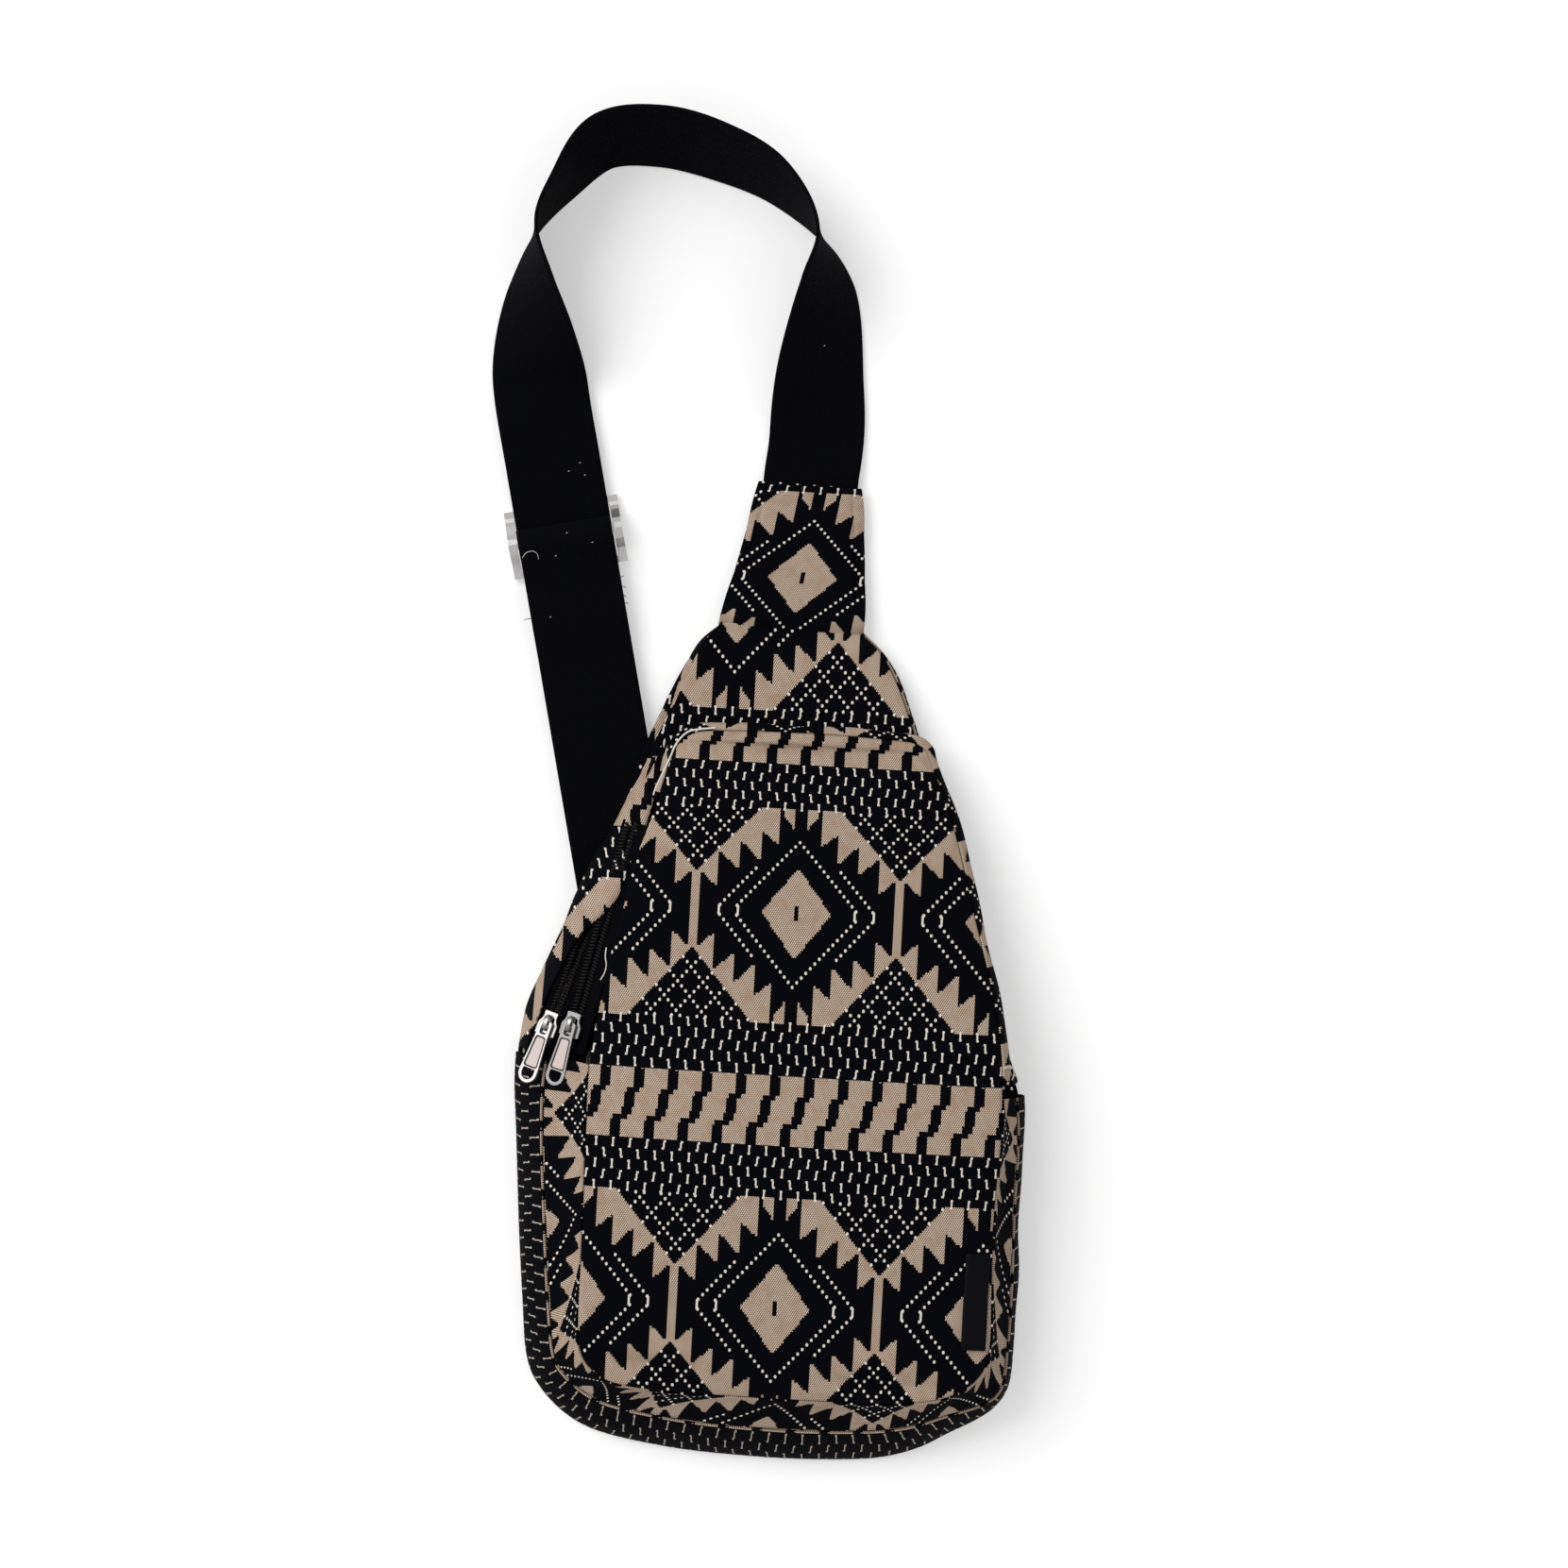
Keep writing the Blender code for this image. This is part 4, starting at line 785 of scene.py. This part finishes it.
zip_slider("main", MAIN_ZIP, "main_zip")
zip_slider("pocket", POCKET_ZIP, "pocket_zip")


def zip_pull(label, matrix, body):
    """A die-cast pull: a frame with an eye and a thumb hole, and a pale plate let into it."""
    level = 3.45
    outline = [(-1.9, 1.0), (1.9, 1.0), (2.8, 0.2), (2.9, -4.5), (3.2, -9.0), (4.0, -18.5)]
    outline += arc((0.0, -21.0), 4.1, 0, -180, 14)
    outline += [(-4.0, -18.5), (-3.2, -9.0), (-2.9, -4.5), (-2.8, 0.2)]
    eye = rounded([(-1.4, -0.8), (-1.4, -4.6), (1.4, -4.6), (1.4, -0.8)], 0.9)
    hole = [(2.5, -19.2)] + arc((0.0, -21.0), 2.55, -4, -176, 12) + [(-2.5, -19.2)]
    hole = rounded(hole, 0.4)[::-1]
    well = rounded([(-2.1, -5.8), (2.1, -5.8), (3.0, -18.5), (-3.0, -18.5)], 1.0)
    piece = plate(f"{label}_pull_frame", outline, level - 0.6, level + 0.6, nickel, matrix,
                  (eye, hole, well), bevel=0.24)
    finish_piece(piece, body, (f"{label}_zip_pull",))
    # A black plate under the well is painted shade: it shows as a dark line round the inlay, where the
    # recess would be in shade.
    shade_plate = rounded([(-2.3, -5.6), (2.3, -5.6), (3.2, -18.7), (-3.2, -18.7)], 1.0)
    piece = plate(f"{label}_pull_backing", shade_plate, level - 0.5, level - 0.1, coil_black, matrix,
                  bevel=0.05)
    finish_piece(piece, body)
    let_in = rounded([(-1.7, -6.2), (1.7, -6.2), (2.55, -18.1), (-2.55, -18.1)], 0.9)
    piece = plate(f"{label}_pull_inlay", let_in, level - 0.35, level + 0.42, inlay, matrix,
                  bevel=0.12)
    finish_piece(piece, body)


zip_pull("main", MAIN_ZIP, "main_pull")
zip_pull("pocket", POCKET_ZIP, "pocket_pull")

# Pocket gusset: a narrower strip round the pocket, sewn to the main front. It ends under the
# zips on the left, and a second piece runs up the right side and over the top.
lower_foot = lower_front.copy()
lower_foot[:, :2] += lower_turn * 0.8
lower_foot[:, 2] += 0.9
pocket_lower = through([row[4:] for row in LOWER], 420)
phase = ((108.0, 224.8), (158.0, 202.9), (248.0, 202.9), (296.0, 184.9))
gusset = strip("pocket_gusset", "pocket_bottom_gusset", pocket_lower, lower_foot,
               -inward(pocket_lower), bulge=1.5, start=phase, across=(36.0, 11.0))
gusset.modifiers["cloth"].offset = 1.0

POCKET_TOP = (
    (48.0, 287.0, 18.6), (44.0, 289.6, 18.2), (30.0, 290.8, 18.6), (10.0, 291.4, 19.0),
    (-10.0, 291.4, 19.2), (-30.0, 290.8, 19.2), (-43.0, 289.6, 19.4), (-49.0, 286.0, 20.0),
    (-52.6, 280.0, 22.0),
)
LEFT_POCKET = (
    (-54.5, 272.0, 24.5), (-57.0, 262.0, 26.2), (-60.6, 250.0, 27.4), (-64.8, 237.0, 27.8),
    (-68.2, 219.0, 27.8), (-72.2, 200.0, 27.2), (-75.4, 180.0, 26.8), (-77.2, 168.0, 27.2),
)
pocket_right = [row[4:] for row in RIGHT]
upper_head = through([*pocket_right, *POCKET_TOP, *LEFT_POCKET[:2]], 260)
upper_foot = upper_head.copy()
out = -inward(upper_head, (0.0, 200.0))
upper_foot[:, :2] += out * 1.6
upper_foot[:, 2] = np.interp(upper_head[:, 1], [158, 190, 225, 250, 275, 292],
                             [26.0, 23.0, 20.2, 18.4, 16.2, 15.2])
gusset = strip("pocket_gusset_upper", "pocket_side_gusset", upper_head, upper_foot, -out,
               bulge=1.4, start=30.0, across=(30.0, 18.0))
gusset.modifiers["cloth"].offset = 1.0

# Pocket front: the large domed panel, padded a little by what is behind it, with soft creases
# where the cloth was folded near the bottom. A seam presses a sharper crease below its top edge.
pocket_loop = np.vstack([
    through([*POCKET_TOP[4:], *LEFT_POCKET, tuple(pocket_lower[0])], 200),
    pocket_lower[1:],
    through([*pocket_right, *POCKET_TOP[:5]], 200)[1:],
])
pocket_loop[:, 2] += 0.5


def nearest(loop, x, y):
    """The place in a loop of its point nearest to this one."""
    return int(np.argmin(np.hypot(loop[:, 0] - x, loop[:, 1] - y)))


rows, columns = 300, 140
loop = np.roll(pocket_loop, -nearest(pocket_loop, -50.6, 284.0), axis=0)
corners = (0, nearest(loop, -68.5, 35.0), nearest(loop, 77.0, 38.0), nearest(loop, 49.0, 284.0))
pocket_points = closed_panel(loop, corners, rows, columns)
s = np.linspace(-1, 1, columns)[None, :]
t = np.linspace(-1, 1, rows)[:, None]
dome = (1 - np.abs(s) ** 3.2) ** 0.75 * (1 - np.abs(t) ** 4.0) ** 0.7
pocket_points[..., 2] += 7.2 * dome
for start, end, depth, width in (
    ((-72.0, 44.0), (-30.0, 37.0), 1.8, 2.2),
    ((20.0, 38.0), (66.0, 37.0), 2.0, 2.4),
    ((-62.0, 48.0), (-25.0, 46.0), -1.0, 4.0),
    ((24.0, 48.0), (70.0, 46.0), -1.0, 4.0),
    ((-48.0, 285.3), (46.0, 285.3), 3.4, 1.2),
    ((-48.0, 281.0), (46.0, 281.0), -0.6, 2.4),
):
    fold(pocket_points, start, end, depth, width)

# The cloth is drawn together a little here, and turns away from the camera near the top.
pocket_uvs = plain_uv(pocket_points, 0.0, 220.3) * (THREAD_X / 0.836)
pocket_uvs[..., 1] += np.interp(pocket_points[..., 1], [225.0, 245.0, 260.0, 278.5, 284.7, 291.0],
                                [0.0, 0.8, 2.6, 5.4, 6.1, 8.2])
sheet("pocket_front", pocket_points, pocket_uvs, jacquard, 1.0, ("pocket_front_panel",))

# Neck: two layers of the cloth, sewn over the end of the strap. The seams round the front layer
# press a groove into it, and its pattern leans, as the piece was cut at an angle.
NECK_LEFT = ((-37.4, 333.5, 6.4), (-34.5, 345.0, 5.4), (-30.6, 362.0, 4.6), (-26.6, 380.0, 4.2),
             (-24.2, 391.5, 4.2))
NECK_RIGHT = ((20.8, 332.0, 6.4), (20.6, 345.0, 5.4), (19.9, 362.0, 4.6), (18.2, 380.0, 4.2),
              (16.8, 390.6, 4.2))
rows, columns = 120, 110
neck = fill(NECK_LEFT, NECK_RIGHT, rows, columns)
s = np.linspace(-1, 1, columns)[None, :]
t = np.linspace(0, 1, rows)[:, None]
neck[..., 2] += 2.6 * (1 - np.abs(s) ** 5) * (1 - 0.45 * t) - 1.6 * (1 - smooth(t / 0.06))
neck[..., 0] += 0.5 * np.sin(t * 9.0) * (np.abs(s) ** 8) * np.sign(s)
for start, end in (((-30.6, 345.0), (-20.6, 388.4)), ((17.4, 345.0), (13.6, 387.6)),
                   ((-20.6, 388.4), (13.6, 387.6))):
    fold(neck, start, end, 0.9, 0.8)
diamond_x, diamond_y, lean = -4.8, 353.5, 0.156
leaning = plain_uv(neck, diamond_x, diamond_y) * (1.0, 1.28)
leaning[..., 0] -= lean * (neck[..., 1] - diamond_y) / THREAD_X
sheet("neck_cloth", neck, leaning, jacquard, 1.0, ("neck_front",))
under_left, under_right = ([(x, y, 1.3) for x, y, _ in side] for side in (NECK_LEFT, NECK_RIGHT))
neck_under = fill(under_left, under_right, 30, 20)
under_uvs = plain_uv(neck_under, -4.5, 354.0)
sheet("neck_back_cloth", neck_under, under_uvs, jacquard, 1.2, ("neck_back",))


# Strap: black cotton webbing, 38 mm wide, in a herringbone weave. It stands on its edge round
# the top of the loop, and lies flat where it runs down to the adjuster and under the bag.
def webbing_material():
    """Black webbing, whose ribs slant one way and then the other. Its UV map is in millimetres."""
    material, tree, shader = new_material("webbing", (0.0026, 0.0027, 0.0042), 0.92, specular=0.05)
    maths = arithmetic(tree)
    uv = tree.nodes.new("ShaderNodeUVMap")
    split = tree.nodes.new("ShaderNodeSeparateXYZ")
    tree.links.new(uv.outputs["UV"], split.inputs[0])
    stripe, rib_pitch, cord_pitch = 2.4, 1.25, 0.8
    chevron = maths("PINGPONG", split.outputs[0], stripe)
    diagonal = maths("ADD", split.outputs[1], maths("MULTIPLY", chevron, 0.9))
    rib = maths("SINE", maths("MULTIPLY", diagonal, 2 * math.pi / rib_pitch))
    cord = maths("SINE", maths("MULTIPLY", split.outputs[0], 2 * math.pi / cord_pitch))
    height = maths("ADD", rib, maths("MULTIPLY", cord, 0.35))
    bump = tree.nodes.new("ShaderNodeBump")
    bump.inputs["Strength"].default_value = 0.8
    bump.inputs["Distance"].default_value = 0.0003
    tree.links.new(height, bump.inputs["Height"])
    tree.links.new(bump.outputs["Normal"], shader.inputs["Normal"])
    return material


webbing = webbing_material()
HALF_WEB, WEB = 19.0, 1.5


def web(name, centres, acrosses, cad, body):
    """Webbing along a line of centres, spread to both sides by one unit vector or one for each."""
    centres = np.asarray(centres, float)
    acrosses = np.broadcast_to(acrosses, centres.shape)
    aside = np.linspace(-1, 1, 17) * HALF_WEB
    points = centres[:, None] + acrosses[:, None] * aside[None, :, None]
    uvs = np.stack(np.broadcast_arrays(aside[None, :], run_length(centres)[:, None]), -1)
    thing = sheet(name, points, uvs, webbing, WEB - 0.1, cad, body)
    thing.modifiers["cloth"].offset = 0.0


def ground(roll):
    """How high the webbing's middle is when it rests on the ground, turned over by roll."""
    turned = math.radians(roll)
    return abs(math.sin(turned)) * HALF_WEB + abs(math.cos(turned)) * WEB / 2


# The webbing's middle round the loop, with its roll in degrees. The second table goes on along
# the straight line and under the bag, as heights at each y.
LOOP = (
    (-3.7, 372.0, 2.55, 0.0), (-3.7, 384.0, 2.55, 0.0), (-3.4, 394.0, 2.4, 0.0),
    (-2.2, 408.0, 0.0, 0.0), (-2.2, 433.0, 0.0, -23.0), (-1.1, 470.5, 0.0, -57.0),
    (-5.6, 490.0, 0.0, -88.0), (-24.7, 510.5, 0.0, -110.0), (-47.0, 520.5, 0.0, -118.0),
    (-70.6, 525.3, 0.0, -120.0), (-92.9, 522.0, 0.0, -116.0), (-108.0, 504.0, 0.0, -102.0),
    (-117.7, 486.6, 0.0, -88.0), (-118.8, 464.0, 0.0, -60.0), (-116.6, 442.0, 0.0, -30.0),
    (strap_x(420), 420.0, 3.05, 0.0), (strap_x(395), 395.0, 3.05, 0.0),
)
UNDER_BAG = (
    (380.0, 3.05), (340.0, 3.05), (300.0, 3.05), (260.0, 3.05), (225.0, 3.05), (205.0, 2.4),
    (190.0, 1.0), (180.0, 0.75), (150.0, 0.75), (120.0, 0.75),
)
route = through(LOOP, 260)
route[:, 2] = np.maximum(route[:, 2], [ground(roll) for roll in route[:, 3]])
route = np.vstack([route, through([(strap_x(y), y, z, 0.0) for y, z in UNDER_BAG], 60)])
heading = np.gradient(route[:, :2], axis=0)
heading /= np.linalg.norm(heading, axis=1)[:, None]
roll = np.radians(route[:, 3])
acrosses = np.column_stack([heading[:, 1] * np.cos(roll), -heading[:, 0] * np.cos(roll), np.sin(roll)])
RING_Y, ADJUSTER_Y = 95.0, 365.0
BEND_HEIGHT, BEND = 2.6, 1.85


def on_line(origin_y, path):
    """Points on the strap's straight line, from their distances past a height and their z."""
    origin = np.array([strap_x(origin_y), origin_y])
    return [[*(origin + strap_line * run), z] for run, z in path]


# At its low end the strap turns round the ring and comes back on top of itself.
back_up = arc((5.3, BEND_HEIGHT), BEND, 270, 90, 10)
back_up += [(12.0, 4.45), (22.0, 3.2), (30.0, 2.55), (60.0, 2.55), (90.0, 2.55), (100.0, 4.0)]
back_up += [(112.0, 4.85), (122.7, 4.85)]
to_right, to_left = (strap_line[1], -strap_line[0], 0.0), (-strap_line[1], strap_line[0], 0.0)
centres = np.vstack([route[:, :3], on_line(RING_Y, back_up)])
acrosses = np.vstack([acrosses, np.tile(to_left, (len(back_up), 1))])
web("webbing_strap", centres, acrosses, ("strap",), "bag")

# Its tail runs up to the adjuster, over the middle bar and back under it.
over_bar = [(-153.5, 4.85), (-120.0, 4.85), (-90.0, 4.85), (-60.0, 4.85), (-47.0, 4.9)]
over_bar += [(-41.0, 5.7), (-35.0, 6.6), (-24.0, 6.7), (-14.0, 6.8), (-8.0, 8.2), (-4.5, 10.6)]
over_bar += [(-1.8, 11.6), (0.6, 11.3)]
over_bar += arc((1.4, 8.0), 3.15, 70, -90, 8)
over_bar += [(-3.0, 4.85), (-33.0, 4.85)]
web("webbing_tail", on_line(ADJUSTER_Y, over_bar), to_right, ("strap_tail",), "adjuster")

# A short tab of the same webbing, sewn to the bag, holds the ring from its other side.
tab = [(-30.0, 4.45), (-5.4, 4.45)]
tab += arc((-5.3, BEND_HEIGHT), BEND, 90, -90, 8)
tab += [(-7.4, 0.75), (-30.0, 0.75)]
web("webbing_tab", on_line(RING_Y, tab), to_right, ("ring_tab",), "bag")

# Adjuster: a flat nickel-plated slide with a bar across its middle. It keeps its CAD shape.
nickel_flat = new_material("nickel_flat", (0.78, 0.77, 0.76), 0.24, 1.0)[0]
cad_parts["strap_adjuster"].data.materials[0] = nickel_flat

# Label: a plain strip of black satin ribbon, sewn in at the pocket's right seam. It lies on the
# pocket, a little off the cloth.
satin = new_material("label_satin", (0.004, 0.004, 0.006), 0.5, specular=0.05)[0]


def panel_height(x, y):
    """The pocket panel's height under a point, from its nearest grid point."""
    away = np.hypot(pocket_points[..., 0] - x, pocket_points[..., 1] - y)
    return pocket_points[..., 2].ravel()[int(np.argmin(away))]


off_cloth = 1.3
label = np.zeros((24, 8, 3))
for i, y in enumerate(np.linspace(53.5, 91.5, 24)):
    for j, x in enumerate(np.linspace(73.6, 83.3, 8)):
        label[i, j] = (x, y, panel_height(x, y) + off_cloth)
sheet("label_cloth", label, plain_uv(label, 0, 0), satin, 0.5, ("label",), "bag")


# Woven tapes: each half of a zip is knitted on to a narrow black tape, sewn down along its outer
# edge. The tapes have the weave of the webbing.
def tape(name, matrix, side, wide, length):
    """A tape beside one coil, from below the slider at rest up to a length past it."""
    below_slider, from_middle = 10.5, 3.2
    along = np.linspace(-below_slider, length, 120)
    across = side * (from_middle + wide * np.linspace(0.0, 1.0, 7))
    points = np.zeros((len(along), len(across), 3))
    for i, y in enumerate(along):
        for j, x in enumerate(across):
            points[i, j] = matrix @ Vector((x * 0.001, y * 0.001, 0.00035))
    points = points * 1000.0 + (0.0, 150.0, 0.0)
    uvs = np.stack(np.broadcast_arrays(across[None, :], along[:, None]), -1)
    if side < 0:
        points, uvs = points[:, ::-1], uvs[:, ::-1]
    sheet(name.replace("_zip", ""), points, uvs, webbing, 0.7, (name,), "bag")


tape("main_zip_tape_outer", MAIN_ZIP, -1, 1.4, 80.0)
tape("main_zip_tape_inner", MAIN_ZIP, 1, 1.3, 80.0)
tape("pocket_zip_tape_outer", POCKET_ZIP, -1, 0.9, 84.0)
tape("pocket_zip_tape_inner", POCKET_ZIP, 1, 4.6, 84.0)


# Loose ends: a cream weft thread that hangs over the pocket's corner, two short ends of thread by
# the seams, and a hair and lint on the strap. Each lies on whatever is under it.
def lying(points, stand):
    """Points with a height: a little above the first thing straight below them."""
    result = []
    for x, y in through([(x, y, 0.0) for x, y in points], 40)[:, :2]:
        above_it = Vector(place((x, y, 120.0)))
        hit, spot, *_ = scene.ray_cast(graph, above_it, (0.0, 0.0, -1.0))
        result.append((x, y, spot.z * 1000.0 + stand if hit else stand))
    return result


bpy.context.view_layer.update()
graph = bpy.context.evaluated_depsgraph_get()
cream = new_material("cream_thread", (0.80, 0.75, 0.67), 0.9)[0]
weft = ((-36.0, 291.6), (-41.3, 290.9), (-46.7, 289.5), (-50.9, 284.9), (-53.3, 278.7),
        (-55.7, 272.6), (-58.1, 266.9), (-59.0, 263.6))
hair = ((-116.8, 355.2), (-115.4, 357.2), (-112.8, 358.1), (-110.9, 357.1), (-110.4, 355.2))
end_by_zip = ((-74.2, 202.5), (-74.4, 199.1), (-73.8, 195.4), (-74.4, 192.3), (-75.8, 189.6))
end_at_right = ((84.5, 163.9), (86.0, 164.7), (88.2, 164.1), (89.9, 161.6), (88.9, 158.9))
for name, spots, thick in (
    ("weft_end", weft, 0.38),
    ("hair", hair, 0.10),
    ("zip_side_end", end_by_zip, 0.25),
    ("right_end", end_at_right, 0.3),
):
    thread = curve_object(name, [lying(spots, thick)], thick, cream)
    finish_piece(thread, "bag")
specks = ((-99.8, 365.9), (-89.4, 362.8), (-103.8, 356.7), (-104.7, 332.3), (-94.3, 389.9),
          (-100.8, 391.1), (-96.5, 394.7), (-1.3, 446.1))
pieces_of_lint = [lying(((x, y), (x + 0.5, y + 0.3)), 0.1)[::13] for x, y in specks]
finish_piece(curve_object("lint", pieces_of_lint, 0.12, cream), "bag")

# Frayed webbing: a few of its black ends stand out from its edges below the adjuster. Each row is
# where an end leaves the edge, and how far it reaches across and up.
frays = []
for x, y, reach_x, reach_y in (
    (-78.0, 350.0, 1.8, 0.6),
    (-77.2, 346.5, 2.1, -0.6),
    (-76.4, 343.0, 1.6, -1.0),
    (-75.6, 339.6, 1.9, 0.3),
    (-112.2, 331.5, -3.0, -1.0),
):
    middle = (x + reach_x * 0.6, y + reach_y * 0.3, 5.1)
    frays.append([(x, y, 4.9), middle, (x + reach_x, y + reach_y, 5.0)])
finish_piece(curve_object("webbing_frays", frays, 0.14, webbing), "bag")
